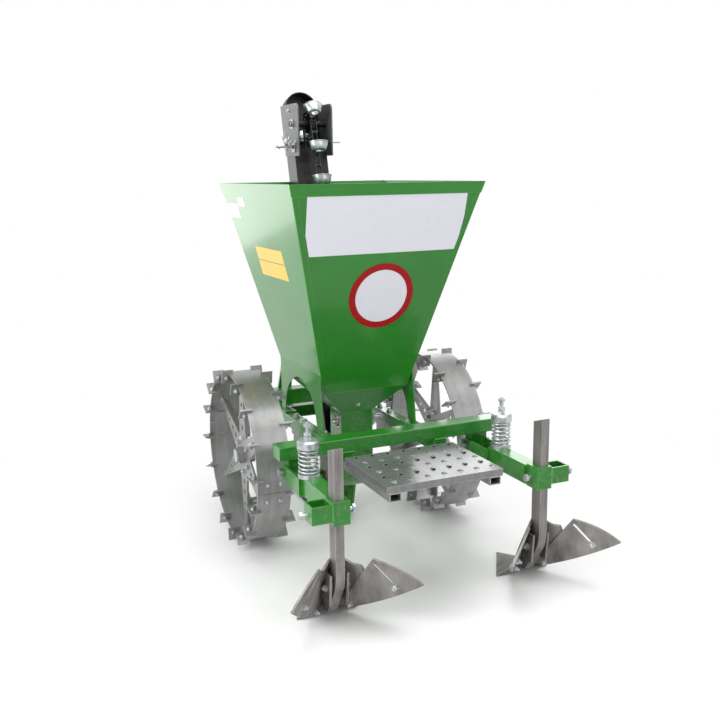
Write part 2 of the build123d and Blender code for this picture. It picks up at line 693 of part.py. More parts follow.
def on_chain(links):
    """Place on the chain's pitch line some links from the foot of the rising run, with Y inwards."""
    frame = chain_frame(LOWER_Z)
    half_turn = TEETH / 2
    degrees_a_link = 360.0 / TEETH
    top = LINKS_A_SIDE + half_turn
    if links <= LINKS_A_SIDE:
        return frame * Pos(0, -CHAIN_R, links * PITCH)
    if links <= top:
        turn = (links - LINKS_A_SIDE) * degrees_a_link
        return frame * Pos(0, 0, SPAN) * Rot(-turn, 0, 0) * Pos(0, -CHAIN_R, 0)
    if links <= top + LINKS_A_SIDE:
        return frame * Pos(0, CHAIN_R, SPAN - (links - top) * PITCH) * Rot(180, 0, 0)
    turn = 180 + (links - top - LINKS_A_SIDE) * degrees_a_link
    return frame * Rot(-turn, 0, 0) * Pos(0, -CHAIN_R, 0)


def eight_corners(radius, z):
    turns = [radians(45.0 * (i + 0.5)) for i in range(8)]
    return [(radius * cos(turn), radius * sin(turn), z) for turn in turns]


def cup():
    """A bowl that stands out from the chain's two strips on a short bracket."""
    half = CUP_DEPTH / 2
    middle = Pos(0, -(STRIP_HEIGHT / 2 + CUP_BACK + CUP_R), 0)
    bowl = middle * flat_solid(eight_corners(CUP_FOOT_R, -half), eight_corners(CUP_R, half))
    hollow = middle * flat_solid(eight_corners(CUP_FOOT_R - CUP_WALL, CUP_WALL - half),
                                 eight_corners(CUP_R - CUP_WALL, half + CUP_WALL))
    bracket_half, bracket_reach, bracket_top = CUP_BRACKET
    bracket_front = BRACKET_LAP - STRIP_HEIGHT / 2
    bracket = block(-bracket_half, bracket_half, -bracket_reach, bracket_front, -half, bracket_top)
    return bowl + bracket - hollow


def chain_strip(side):
    """One of the chain's two side strips, a closed loop round both sprockets."""
    outer = SlotCenterToCenter(SPAN, 2 * CHAIN_R + STRIP_HEIGHT)
    inner = SlotCenterToCenter(SPAN, 2 * CHAIN_R - STRIP_HEIGHT)
    strip = Rot(90, 0, 0) * extrude(Plane.YZ * (outer - inner), amount=side * STRIP)
    return chain_frame(LOWER_Z) * Pos(side * STRIP_X, 0, SPAN / 2) * strip


def cup_chain():
    links = 2 * LINKS_A_SIDE + TEETH
    roller = extrude(Plane.YZ * RegularPolygon(ROLLER_R, 6), amount=ROLLER_HALF, both=True)
    pieces = [chain_strip(1)]
    pieces += [on_chain(i) * roller for i in range(links)]
    pieces += [on_chain(i + 0.5) * cup() for i in range(0, links, LINKS_A_CUP)]
    return chain_strip(-1) + pieces


# Platform

def step_tray():
    tray = block(-STEP_HALF, STEP_HALF, STEP_REAR, STEP_FRONT, STEP_TOP - STEP_LIP, STEP_TOP)
    inner = STEP_HALF - STEP_SHEET
    return tray - block(-inner, inner, STEP_REAR + STEP_SHEET, STEP_FRONT - STEP_SHEET,
                        STEP_TOP - STEP_LIP - OVER, STEP_TOP - STEP_SHEET)


def step_rail(side):
    z1 = STEP_TOP - STEP_LIP
    z0 = z1 - RAIL_HEIGHT
    half = RAIL_WIDTH / 2
    rail = block(side * (LONG_X - half), side * (LONG_X + half), STEP_REAR, 0, z0, z1)
    half -= RAIL_WALL
    return rail - block(side * (LONG_X - half), side * (LONG_X + half), STEP_REAR - OVER, -RAIL_END_WALL,
                        z0 + RAIL_WALL, z1 - RAIL_WALL)


# Ridger arms

def hinge_lug(side):
    x0 = side * (ARM_X - ARM_WIDTH / 2 - LUG_WIDE)
    x1 = side * (ARM_X + ARM_WIDTH / 2 + LUG_WIDE)
    lug = block(x0, x1, PIVOT_Y - LUG_REAR, PIVOT_Y + LUG_FRONT, PIVOT_Z, BEAM_BOTTOM)
    lug += rod("X", LUG_ROUND_R, x0, x1, PIVOT_Y, PIVOT_Z)
    return lug - rod("X", PIVOT_R, x0 - side * OVER, x1 + side * OVER, PIVOT_Y, PIVOT_Z)


def pivot_bolt(side):
    x0 = side * (ARM_X - ARM_WIDTH / 2 - PIVOT_REACH)
    x1 = side * (ARM_X + ARM_WIDTH / 2 + PIVOT_REACH)
    bolt = rod("X", PIVOT_R, x0, x1, PIVOT_Y, PIVOT_Z)
    bolt += hexagon(PIVOT_HEAD_R, x0, x0 + side * PIVOT_HEAD, PIVOT_Y, PIVOT_Z)
    return bolt + hexagon(PIVOT_HEAD_R, x1, x1 - side * PIVOT_HEAD, PIVOT_Y, PIVOT_Z)


def clamp_span(side):
    """Inner and outer face of the box that clamps the shank."""
    return (side * (SHANK_X - SHANK_WIDTH / 2 - BOX_WALL - BOX_PAD),
            side * (SHANK_X + SHANK_WIDTH / 2 + BOX_WALL))


def ridger_arm(side):
    """Square arm with two ears at its hinge, and a clamp and an open pocket at its end."""
    rear = SHANK_REAR_Y - BOX_WALL
    fore = SHANK_REAR_Y + SHANK_DEPTH + BOX_WALL
    x0 = ARM_X - ARM_WIDTH / 2
    x1 = ARM_X + ARM_WIDTH / 2
    arm = block(side * x0, side * x1, fore, ARM_FRONT, ARM_BOTTOM, ARM_TOP)
    arm = fillet(arm.edges().filter_by(Axis.Y), TUBE_CORNER)
    for x in (x0 - EAR_GAP - EAR_PLATE, x1 + EAR_GAP):
        ear = side_plate(EAR_OUTLINE, side * x, side * (x + EAR_PLATE))
        arm += ear - rod("X", PIVOT_R, side * (x - OVER), side * (x + EAR_PLATE + OVER), PIVOT_Y, PIVOT_Z)
    arm += block(side * (x0 - EAR_GAP), side * (x1 + EAR_GAP), ARM_FRONT - EAR_WELD, ARM_FRONT,
                 ARM_BOTTOM, YOKE_TOP)
    arm -= rod("Z", STUD_R + STUD_HOLE_ROOM, ARM_BOTTOM - OVER, ARM_TOP + OVER, side * SPRING_X, SPRING_Y)
    box_in, box_out = clamp_span(side)
    arm += block(box_in, box_out, rear, fore, ARM_BOTTOM - BOX_LAP, ARM_TOP + BOX_LAP)
    pocket = block(box_out, box_out + side * POCKET_WIDTH, rear, fore, ARM_BOTTOM + POCKET_RISE,
                   ARM_TOP - POCKET_SINK)
    pocket -= block(box_out + side * POCKET_WALL, box_out + side * (POCKET_WIDTH - POCKET_WALL),
                    rear + POCKET_WALL, fore - POCKET_WALL, ARM_BOTTOM, ARM_TOP)
    slot = SHANK_WIDTH / 2 + SLIP
    seat = block(side * (SHANK_X - slot), side * (SHANK_X + slot), SHANK_REAR_Y - SLIP,
                 SHANK_REAR_Y + SHANK_DEPTH + SLIP, ARM_BOTTOM - 2 * BOX_LAP, ARM_TOP + 2 * BOX_LAP)
    return arm + pocket - seat


def clamp_bolts(side):
    """The two bolts that press on the clamp, one from each side of the arm."""
    y = SHANK_REAR_Y + SHANK_DEPTH / 2
    z = (ARM_BOTTOM + ARM_TOP) / 2
    box_in, box_out = clamp_span(side)
    bolts = []
    for face, outward in ((box_in, -side), (box_out + side * POCKET_WIDTH, side)):
        end = face + outward * CLAMP_REACH
        bolts.append(rod("X", CLAMP_R, face, end, y, z)
                     + hexagon(CLAMP_HEAD_R, end, end + outward * CLAMP_HEAD, y, z))
    return bolts


def spring_stud(side):
    x = side * SPRING_X
    stud = rod("Z", STUD_R, STUD_BOTTOM, STUD_TOP, x, SPRING_Y)
    nut = extrude(RegularPolygon(STUD_NUT_R, 6), amount=STUD_NUT)
    return stud + [Pos(x, SPRING_Y, z) * nut for z in STUD_NUTS]


def spring_cap(side):
    x = side * SPRING_X
    cap = rod("Z", CAP_R, CAP_BOTTOM, CAP_TOP, x, SPRING_Y)
    cap = chamfer(cap.edges().sort_by(Axis.Z)[-1], CAP_CHAMFER)
    return cap - rod("Z", STUD_R, CAP_BOTTOM - OVER, CAP_TOP + OVER, x, SPRING_Y)


def spring_seat(side):
    x = side * SPRING_X
    top = ARM_TOP + SEAT_HEIGHT
    hole = rod("Z", STUD_R, ARM_TOP - OVER, top + OVER, x, SPRING_Y)
    return rod("Z", SEAT_R, ARM_TOP, top, x, SPRING_Y) - hole


def spring(side):
    """A coil of straight pieces that follows a helix from the seat to the cap."""
    low = ARM_TOP + SEAT_HEIGHT + WIRE_R
    high = CAP_BOTTOM - WIRE_R
    steps = SPRING_TURNS * TURN_POINTS
    points = []
    for i in range(steps + 1):
        turn = 2 * pi * i / TURN_POINTS
        points.append((SPRING_R * cos(turn), SPRING_R * sin(turn), low + (high - low) * i / steps))
    path = Polyline(*points)
    section = Plane(origin=path @ 0, z_dir=path % 0) * RegularPolygon(WIRE_R, 6)
    return Pos(side * SPRING_X, SPRING_Y, 0) * sweep(section, path=path, transition=Transition.RIGHT)


def stud_anchor(side):
    """Flat bar under the arm that holds the foot of the spring's stud."""
    x0 = side * (SPRING_X - ANCHOR_HALF)
    x1 = side * (SPRING_X + ANCHOR_HALF)
    bar = block(x0, x1, SPRING_Y - ANCHOR_PAST_STUD, ANCHOR_FRONT, ANCHOR_TOP - ANCHOR_BAR, ANCHOR_TOP)
    bar += block(x0, x1, ANCHOR_FRONT - ANCHOR_BAR, ANCHOR_FRONT, ANCHOR_TOP - ANCHOR_BAR,
                 PIVOT_Z - LUG_ROUND_R)
    return bar - rod("Z", STUD_R, STUD_BOTTOM - OVER, ARM_BOTTOM, side * SPRING_X, SPRING_Y)


def shank(side, grow=0.0):
    """Flat bar whose foot bends forward; grow widens it to cut a seat for it."""
    x0 = side * (SHANK_X - SHANK_WIDTH / 2 - grow)
    x1 = side * (SHANK_X + SHANK_WIDTH / 2 + grow)
    rear = SHANK_REAR_Y - grow
    front = SHANK_REAR_Y + SHANK_DEPTH + grow
    centre = (SHANK_REAR_Y + SHANK_BEND_R, SHANK_KNEE_Z)
    turn = radians(SHANK_BEND_TURN)
    outline = [(front, SHANK_TOP - SHANK_TOP_SLOPE), (rear, SHANK_TOP), (rear, SHANK_KNEE_Z)]
    lower = []
    for edge in (rear, front):
        radius = centre[0] - edge
        knee = [(centre[0] - radius * cos(turn * k), centre[1] - radius * sin(turn * k)) for k in (0, 0.5, 1)]
        drop = knee[2][1] - SHANK_FOOT_Z + grow
        foot = (knee[2][0] + drop * sin(turn) / cos(turn), SHANK_FOOT_Z - grow)
        lower.append(knee + [foot])
    back, fore = lower
    edges = [Line(outline[0], outline[1]), Line(outline[1], back[0]), ThreePointArc(*back[:3]),
             Line(back[2], back[3]), Line(back[3], fore[3]), Line(fore[3], fore[2]),
             ThreePointArc(fore[2], fore[1], fore[0]), Line(fore[0], outline[0])]
    face = Plane.YZ * make_face(edges)
    return Pos(x0, 0, 0) * extrude(face, amount=x1 - x0, dir=(1, 0, 0))


# Ridger bodies

def wing_plane():
    """Rear face of a ridger's right hand wing, with X along its foot and Y up it."""
    sweep_angle = radians(WING_SWEEP)
    tilt = radians(WING_TILT)
    along = (sin(sweep_angle), -cos(sweep_angle), 0)
    backward = (-cos(sweep_angle) * cos(tilt), -sin(sweep_angle) * cos(tilt), -sin(tilt))
    return Plane(origin=WING_ORIGIN, x_dir=along, z_dir=backward)


def both_hands(right, side):
    """A right hand piece of a ridger and its mirror image, set at the shank."""
    left = mirror(right, Plane.YZ)
    return [Pos(side * SHANK_X, 0, 0) * right, Pos(side * SHANK_X, 0, 0) * left]


def ridger_wings(side):
    """The slotted outer wings, bolted behind the breast plates."""
    outline = make_face([Polyline(*WING_FOOT), ThreePointArc(*WING_BACK), ThreePointArc(*WING_UNDER)])
    (ax, ay), (bx, by) = WING_SLOT
    middle = Pos((ax + bx) / 2, (ay + by) / 2) * Rot(0, 0, degrees(atan((by - ay) / (bx - ax))))
    outline -= middle * SlotCenterToCenter(hypot(bx - ax, by - ay), SLOT_WIDTH)
    wing = extrude(wing_plane() * outline, amount=-PLATE)
    return Compound(both_hands(wing, side))


def share_z(x, y):
    """Height of the share's underside, which is flat and has its edge on the ground."""
    tip_x, tip_y = SHARE_TIP
    behind_edge = SHARE_NOSE_Y - y - x * (SHARE_NOSE_Y - tip_y) / tip_x
    return SHARE_BACK_Z * behind_edge / (SHARE_NOSE_Y - SHARE_BACK_Y)


def share_half():
    """Right hand half of the share, a low arrow head in front of the breast plates."""
    places = [(0, SHARE_NOSE_Y), SHARE_TIP, SHARE_WING, (0, SHARE_BACK_Y)]
    under = [(x, y, share_z(x, y)) for x, y in places]
    return flat_solid(under, [(x, y, z + SHARE_PLATE) for x, y, z in under])


def ridger_breast(side):
    """Breast plates and share of a ridger, with the ribs and bosses that hold the shank."""
    outline = make_face(Polyline(*BREAST_OUTLINE, close=True))
    plate = extrude(wing_plane().offset(-PLATE) * outline, amount=-SHARE_PLATE)
    plate &= block(0, SHANK_X, SHANK_REAR_Y, 0, 0, SHANK_TOP)
    rib = side_plate(RIB_OUTLINE, RIB_IN, RIB_OUT)
    boss = rod("X", BOSS_R, SHANK_WIDTH / 2 + SEAT_GAP, (RIB_IN + RIB_OUT) / 2, *BOSS_YZ)
    right = plate + [share_half(), rib, boss]
    hands = both_hands(right, side)
    return hands[0] + hands[1] - shank(side, SEAT_GAP)


# Furrow opener

def opener():
    """Two blades that meet at the nose and spread to the rear."""
    high_nose = OPENER_NOSE_Y - OPENER_NOSE_BACK
    blades = []
    for _, side in SIDES:
        low = [(0, OPENER_NOSE_Y, 0), (side * OPENER_LOW_X, OPENER_REAR_Y, 0),
               (side * (OPENER_LOW_X - OPENER_WALL), OPENER_REAR_Y, 0),
               (0, OPENER_NOSE_Y - OPENER_NOSE_WALL, 0)]
        high = [(0, high_nose, OPENER_TOP), (side * OPENER_TOP_X, OPENER_REAR_Y, OPENER_TOP),
                (side * (OPENER_TOP_X - OPENER_WALL), OPENER_REAR_Y, OPENER_TOP),
                (0, high_nose - OPENER_NOSE_WALL, OPENER_TOP)]
        blades.append(flat_solid(low, high))
    return blades[0] + blades[1]


def opener_shank():
    half = OPENER_SHANK_WIDTH / 2
    y1 = FRONT_TIE_Y + TUBE
    bar = block(-half, half, y1 - OPENER_SHANK_DEPTH, y1, OPENER_SHANK_FOOT, LONG_BOTTOM)
    return bar - opener()


def write(name, shape):
    moved = Pos(0, -ORIGIN_Y, 0) * shape
    export_step(moved, f"parts/{name}.step")
    return moved


def pair_of(make):
    """The pieces that a function makes for the two sides, in one compound."""
    pieces = []
    for _, side in SIDES:
        made = make(side)
        pieces += made if isinstance(made, list) else [made]
    return Compound(pieces)


def build():
    os.makedirs("parts", exist_ok=True)
    nodes = {
        "rear_crossbeam": rear_crossbeam(),
        "front_tie": front_tie(),
        "hitch_beam": hitch_beam(),
        "mast_ears": mast_ears(),
        "wheel_axle": axle(),
        "hopper_rear_panel": hopper_wall(0, 1),
        "hopper_front_panel": hopper_wall(2, 3),
        "hopper_funnel": funnel(),
        "elevator_boot": elevator_boot(),
        "drop_tube": drop_tube(),
        "agitator_shaft": agitator_shaft(),
        "elevator_hood": hood(),
        "upper_sprocket": sprocket(UPPER_Z, TUBE_X + UPPER_SHAFT_END),
        "lower_sprocket": sprocket(LOWER_Z, TUBE_X + LOWER_SHAFT_END),
        "cup_chain": cup_chain(),
        "step_tray": step_tray(),
        "furrow_opener": opener(),
        "opener_shank": opener_shank(),
    }
    one_side = {
        "longitudinal": longitudinal,
        "wheel_rim": wheel_rim,
        "wheel_star": wheel_star,
        "ridger_arm": ridger_arm,
        "spring": spring,
        "shank": shank,
        "ridger_wings": ridger_wings,
        "ridger_breast": ridger_breast,
    }
    for word, side in SIDES:
        for name, make in one_side.items():
            nodes[f"{word}_{name}"] = make(side)
        nodes[f"hopper_{word}_panel"] = side_panel(side)
    pairs = {
        "lower_pins": lower_pin,
        "mast_legs": mast_leg,
        "bearing_blocks": bearing_block,
        "agitator_bearings": agitator_bearing,
        "axle_nuts": axle_nut,
        "head_plates": head_plate,
        "adjuster_brackets": adjuster_bracket,
        "step_rails": step_rail,
        "hinge_lugs": hinge_lug,
        "pivot_bolts": pivot_bolt,
        "clamp_bolts": clamp_bolts,
        "spring_studs": spring_stud,
        "spring_caps": spring_cap,
        "spring_seats": spring_seat,
        "stud_anchors": stud_anchor,
    }
    for name, make in pairs.items():
        nodes[name] = pair_of(make)
    whole = [write(name, shape) for name, shape in nodes.items()]
    box = Compound(whole).bounding_box()
    print("nodes", len(nodes))
    print("low corner", box.min, "high corner", box.max)


build()
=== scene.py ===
# %% [markdown]
# A potato planter seen from behind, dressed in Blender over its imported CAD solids.
# The solids already have the right shapes and places, so this lesson is about what they lack:
# paint that looks sprayed, zinc that looks dipped, blank stickers, bolts and welds.
# The first cell loads the solids as a fixed frame. Nothing else is read from disk.

# %% Load the frame
import json
from math import atan, cos, hypot, pi, radians, sin
import bpy
import numpy as np
from mathutils import Matrix, Vector


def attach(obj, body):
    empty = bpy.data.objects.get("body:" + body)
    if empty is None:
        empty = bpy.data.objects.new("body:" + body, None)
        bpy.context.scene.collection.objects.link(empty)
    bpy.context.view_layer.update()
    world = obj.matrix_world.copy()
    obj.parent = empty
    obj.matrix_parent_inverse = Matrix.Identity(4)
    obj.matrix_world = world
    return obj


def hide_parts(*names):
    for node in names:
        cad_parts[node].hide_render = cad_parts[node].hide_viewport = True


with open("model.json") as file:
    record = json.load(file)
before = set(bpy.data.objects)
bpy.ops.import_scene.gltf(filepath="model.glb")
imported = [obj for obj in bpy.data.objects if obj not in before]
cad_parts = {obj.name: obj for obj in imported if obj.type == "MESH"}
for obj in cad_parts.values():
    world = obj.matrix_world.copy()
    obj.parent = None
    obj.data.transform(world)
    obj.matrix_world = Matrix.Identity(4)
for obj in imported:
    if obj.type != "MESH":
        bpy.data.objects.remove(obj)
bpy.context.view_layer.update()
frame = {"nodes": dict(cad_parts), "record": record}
NODES = frame["nodes"]

# %% [markdown]
# The camera stands behind the machine and to its left, a little above the hopper's rim.
# It was fitted to the photograph from the corners of the hopper, the beams and the wheels.
# Heading turns it from the direction of travel, pitch tips it down and roll tilts the horizon.

# %% Camera
CAMERA_PLACE = Vector((-1.136, -2.5237, 1.165))
HEADING = radians(-23.68)
PITCH = radians(11.62)
ROLL = radians(-0.83)
FOCAL_PIXELS = 915.47
IMAGE_PIXELS = 720
SENSOR = 36.0


def camera_axes(heading, pitch, roll):
    """Forward, right and up of a camera: level axes from heading and pitch, then turned by roll."""
    forward = Vector((-sin(heading) * cos(pitch), cos(heading) * cos(pitch), -sin(pitch)))
    level = Vector((cos(heading), sin(heading), 0.0))
    upright = level.cross(forward)
    right = level * cos(roll) + upright * sin(roll)
    up = upright * cos(roll) - level * sin(roll)
    return forward, right, up


def make_camera():
    forward, right, up = camera_axes(HEADING, PITCH, ROLL)
    data = bpy.data.cameras.new("view")
    data.sensor_width = SENSOR
    data.lens = FOCAL_PIXELS / IMAGE_PIXELS * SENSOR
    camera = bpy.data.objects.new("view", data)
    turn = Matrix((right, up, -forward)).transposed().to_4x4()
    camera.matrix_world = Matrix.Translation(CAMERA_PLACE) @ turn
    bpy.context.scene.collection.objects.link(camera)
    bpy.context.scene.camera = camera
    return camera


camera = make_camera()
print("camera lens", round(camera.data.lens, 2))

# %% [markdown]
# A material here is a small sum. A socket of one node is wrapped in a class whose operators
# add Math nodes, so that a mask can be written as 1 - dust * edge and read like algebra.
# Every other node comes from one method, which sets the node's options first, then its sockets.

# %% Shader sums
BEVEL_SAMPLES = 4
EDGE_STARTS, EDGE_FULL = 0.015, 0.12


class Wire:
    """One output socket of a material, ready to be used in a Python expression."""

    def __init__(self, finish, socket):
        self.finish = finish
        self.socket = socket

    def math(self, operation, first, second):
        inputs = {0: first, 1: second}
        return self.finish.add("ShaderNodeMath", {"operation": operation}, inputs)

    def __add__(self, other):
        return self.math("ADD", self, other)

    def __radd__(self, other):
        return self.math("ADD", other, self)

    def __rsub__(self, other):
        return self.math("SUBTRACT", other, self)

    def __mul__(self, other):
        return self.math("MULTIPLY", self, other)


class Finish:
    """A material under construction: its tree, its surface shader and its coordinates."""

    def __init__(self, name):
        self.material = bpy.data.materials.new(name)
        self.material.use_nodes = True
        self.tree = self.material.node_tree
        self.shader = self.tree.nodes["Principled BSDF"]
        self.place = self.add("ShaderNodeTexCoord", {}, {}, "Object")

    def add(self, kind, settings, inputs, output=0):
        """A node of one kind, its options set first, then the values or links of its sockets."""
        node = self.tree.nodes.new(kind)
        for option, value in settings.items():
            setattr(node, option, value)
        for name, value in inputs.items():
            self.feed(node.inputs[name], value)
        return Wire(self, node.outputs[output])

    def feed(self, socket, value):
        if isinstance(value, Wire):
            self.tree.links.new(value.socket, socket)
        else:
            socket.default_value = value

    def noise(self, scale, detail=3.0, roughness=0.5, vector=None):
        sockets = {"Vector": vector or self.place, "Scale": scale}
        sockets |= {"Detail": detail, "Roughness": roughness}
        return self.add("ShaderNodeTexNoise", {}, sockets)

    def mask(self, value, low, high):
        """0 below low, 1 above high and a straight ramp between."""
        sockets = {"Value": value, "From Min": low, "From Max": high}
        return self.add("ShaderNodeMapRange", {}, sockets)

    def blend(self, share, first, second):
        """A colour that goes from the first to the second as share goes from 0 to 1."""
        sockets = {"Factor": share, "A": first, "B": second}
        return self.add("ShaderNodeMix", {"data_type": "RGBA"}, sockets, "Result")

    def stretched(self, x, y, z):
        """The object's own coordinates, stretched along an axis by a small factor."""
        return self.add("ShaderNodeMapping", {}, {"Vector": self.place, "Scale": (x, y, z)})

    def height(self):
        """How high a point lies over the ground, in metres."""
        return self.add("ShaderNodeSeparateXYZ", {}, {"Vector": self.place}, "Z")

    def edges(self, width):
        """1 on an edge, 0 on a flat: how far a rounded normal turns away from the real one."""
        round_normal = self.add("ShaderNodeBevel", {"samples": BEVEL_SAMPLES}, {"Radius": width})
        real_normal = self.add("ShaderNodeNewGeometry", {}, {}, "Normal")
        sockets = {0: round_normal, 1: real_normal}
        agreement = self.add("ShaderNodeVectorMath", {"operation": "DOT_PRODUCT"}, sockets, "Value")
        return self.mask(1.0 - agreement, EDGE_STARTS, EDGE_FULL)

    def relief(self, height, depth, strength):
        """Bumps of the shading alone, from a height that is a share of the depth."""
        sockets = {"Height": height, "Distance": depth, "Strength": strength}
        self.feed(self.shader.inputs["Normal"], self.add("ShaderNodeBump", {}, sockets))

    def surface(self, **sockets):
        """Feeds the shader's sockets: base_color stands for Base Color, and so on."""
        for name, value in sockets.items():
            label = name.replace("_", " ").title().replace("Ior", "IOR")
            self.feed(self.shader.inputs[label], value)
        return self.material


def rgb(red, green, blue):
    """A colour as a picture gives it, 0 to 255 a channel, turned into linear light."""
    levels = np.array((red, green, blue)) / 255.0
    linear = np.where(levels <= 0.04045, levels / 12.92, ((levels + 0.055) / 1.055) ** 2.4)
    return (*[float(v) for v in linear], 1.0)


print("a mid green in linear light", [round(v, 3) for v in rgb(56, 134, 48)])

# %% [markdown]
# Sprayed machine paint is a thick glossy coat. Close by it has the skin of an orange. Its sharp
# edges get a lighter line of colour, a painted highlight. Dust settles low down. The gloss is a
# clear coat over the colour, because a real gloss paint reflects the room without changing its hue.

# %% Sprayed green paint
GREEN = rgb(34, 128, 30)
GREEN_EDGE_HIGHLIGHT = rgb(112, 178, 96)
BLACK = rgb(22, 22, 24)
BLACK_EDGE_HIGHLIGHT = rgb(70, 70, 72)
DUST = rgb(150, 146, 130)
DUSTY_Z, CLEAN_Z = 0.1, 0.55
COAT_ROUGHNESS = 0.12
PAINT_SPECULAR = 0.25


def sprayed_paint(name, colour, edge_highlight_colour, roughness, coat):
    finish = Finish(name)
    cloud = finish.noise(5.0, 4.0)
    peel = finish.noise(420.0, 1.0)
    specks = finish.noise(70.0, 6.0, 0.7)
    near_ground = 1.0 - finish.mask(finish.height(), DUSTY_Z, CLEAN_Z)
    dust = finish.mask(specks + near_ground * 0.22, 0.62, 0.86) * 0.45
    edge = finish.edges(0.0022) * 0.75
    deep = tuple(v * 0.8 for v in colour[:3]) + (1.0,)
    base = finish.blend(finish.mask(cloud, 0.3, 0.7), deep, colour)
    # A lighter colour along sharp edges: a painted highlight.
    base = finish.blend(edge, base, edge_highlight_colour)
    base = finish.blend(dust, base, DUST)
    finish.relief(peel, 0.0003, 0.35)
    dull = roughness + dust * 0.5 + edge * 0.1
    return finish.surface(base_color=base, roughness=dull, coat_weight=coat,
                          coat_roughness=COAT_ROUGHNESS, specular_ior_level=PAINT_SPECULAR)


green_paint = sprayed_paint("green_paint", GREEN, GREEN_EDGE_HIGHLIGHT, 0.3, 0.6)
black_paint = sprayed_paint("black_paint", BLACK, BLACK_EDGE_HIGHLIGHT, 0.42, 0.2)
print("paints", green_paint.name, black_paint.name)

# %% [markdown]
# Zinc has two looks on a machine. Dipped zinc is grey with a faint patchwork of crystals, which a
# Voronoi pattern gives; plated zinc on bolts is brighter, bluish and smooth. The share of metal
# moves their colour into the reflection, and a blotchy roughness keeps them from looking like
# chrome. A sheet that has gone dull has little of that share left, and a pressed one is smoother.
# The film of a sticker and a near-black sheet of painted shade for the inside of a small hole are
# made here too.

# %% Zinc and steel
GRIME = rgb(96, 92, 86)
ZINC_EDGE_HIGHLIGHT = rgb(226, 228, 230)
STEEL_EDGE_HIGHLIGHT = rgb(214, 212, 208)
METAL_EDGE_WIDTH = 0.0018


def dipped_zinc(name, light, dark, roughness=0.34, metal=0.6):
    """Galvanised sheet: cloudy grey, brushed one way, with grime in blots and a painted highlight
    along its edges.
    """
    finish = Finish(name)
    sockets = {"Vector": finish.place, "Scale": 70.0}
    crystals = finish.add("ShaderNodeTexVoronoi", {}, sockets, "Color")
    crystal_tone = finish.add("ShaderNodeSeparateColor", {}, {"Color": crystals}, "Red")
    cloud = finish.noise(6.0, 4.0)
    brushed = finish.noise(60.0, 4.0, 0.6, finish.stretched(1.0, 0.06, 0.06))
    grime = finish.mask(finish.noise(34.0, 7.0, 0.72), 0.6, 0.84)
    tone = finish.mask(cloud * 0.6 + brushed * 0.4 + crystal_tone * 0.05, 0.38, 0.66)
    base = finish.blend(tone, dark, light)
    base = finish.blend(grime * 0.35, base, GRIME)
    # Lighter edges: a painted highlight.
    base = finish.blend(finish.edges(METAL_EDGE_WIDTH) * 0.6, base, ZINC_EDGE_HIGHLIGHT)
    finish.relief(finish.noise(160.0, 4.0) + brushed * 0.5, 0.0003, 0.25)
    dull = roughness + crystal_tone * 0.04 + grime * 0.2
    return finish.surface(base_color=base, roughness=dull, metallic=metal)


def rolled_steel(name, light, dark, streak, edge_highlight_share=0.7):
    """Mill steel: long faint streaks along one axis, a few scratches and soft blotches."""
    finish = Finish(name)
    streaks = finish.noise(30.0, 5.0, 0.6, finish.stretched(*streak))
    blotch = finish.noise(12.0, 4.0)
    scratch = finish.mask(finish.noise(90.0, 2.0, 0.5, finish.stretched(1.0, 9.0, 9.0)), 0.66, 0.72)
    base = finish.blend(finish.mask(streaks * 0.6 + blotch * 0.4, 0.35, 0.65), dark, light)
    base = finish.blend(scratch * 0.35, base, rgb(205, 205, 205))
    # Lighter edges: a painted highlight, weaker on the dark chain.
    base = finish.blend(finish.edges(METAL_EDGE_WIDTH) * edge_highlight_share, base, STEEL_EDGE_HIGHLIGHT)
    finish.relief(streaks + scratch * 0.4, 0.0004, 0.3)
    dull = 0.36 + blotch * 0.22
    return finish.surface(base_color=base, roughness=dull, metallic=0.6)


def plated_zinc(name):
    """Bright plate on small parts, with a few darker stains."""
    finish = Finish(name)
    cloud = finish.noise(60.0, 3.0)
    stain = finish.mask(finish.noise(25.0, 5.0), 0.62, 0.8)
    base = finish.blend(finish.mask(cloud, 0.35, 0.65), rgb(160, 166, 168), rgb(205, 210, 210))
    base = finish.blend(stain * 0.5, base, rgb(96, 100, 96))
    finish.relief(finish.noise(500.0, 2.0), 0.0001, 0.3)
    return finish.surface(base_color=base, roughness=0.24 + cloud * 0.16, metallic=0.85)


def vinyl(name, colour):
    """A sticker's film: flat colour under a thin gloss, a little grey with handling."""
    finish = Finish(name)
    handled = finish.mask(finish.noise(45.0, 5.0, 0.6), 0.55, 0.8)
    base = finish.blend(handled * 0.1, colour, rgb(120, 120, 112))
    finish.relief(finish.noise(300.0, 1.0), 0.0001, 0.15)
    return finish.surface(base_color=base, roughness=0.4 + handled * 0.2, specular_ior_level=0.2)


ALONG_Z, EVEN = (1.0, 1.0, 0.08), (1.0, 1.0, 1.0)
galvanised = dipped_zinc("galvanised", rgb(160, 160, 160), rgb(132, 131, 130))
dull_plate = dipped_zinc("dull_plate", rgb(94, 96, 93), rgb(76, 78, 75), 0.4, 0.1)
pressed_sheet = dipped_zinc("pressed_sheet", rgb(140, 141, 142), rgb(114, 114, 114), 0.22, 0.4)
bare_steel = rolled_steel("bare_steel", rgb(158, 154, 150), rgb(104, 101, 99), ALONG_Z)
zinc = plated_zinc("zinc")
spring_steel = plated_zinc("spring_steel")
chain_steel = rolled_steel("chain_steel", rgb(58, 57, 56), rgb(24, 24, 25), EVEN, 0.12)
white_vinyl = vinyl("white_vinyl", rgb(222, 222, 230))
red_vinyl = vinyl("red_vinyl", rgb(158, 10, 16))
yellow_vinyl = vinyl("yellow_vinyl", rgb(240, 196, 96))
# A near-black sheet for the inside of small holes: painted shade.
hole_shade = sprayed_paint("hole_shade", rgb(14, 14, 14), rgb(22, 22, 22), 0.8, 0.0)
print("finishes", len(bpy.data.materials), "the last", hole_shade.name)

# %% [markdown]
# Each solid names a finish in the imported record, so the dressing is one loop over that list.
# Two of them look unlike the rest of their finish in the photograph: the head's plates have gone
# dull, and the platform's sheet is bright. The solid's mesh stays as it was.

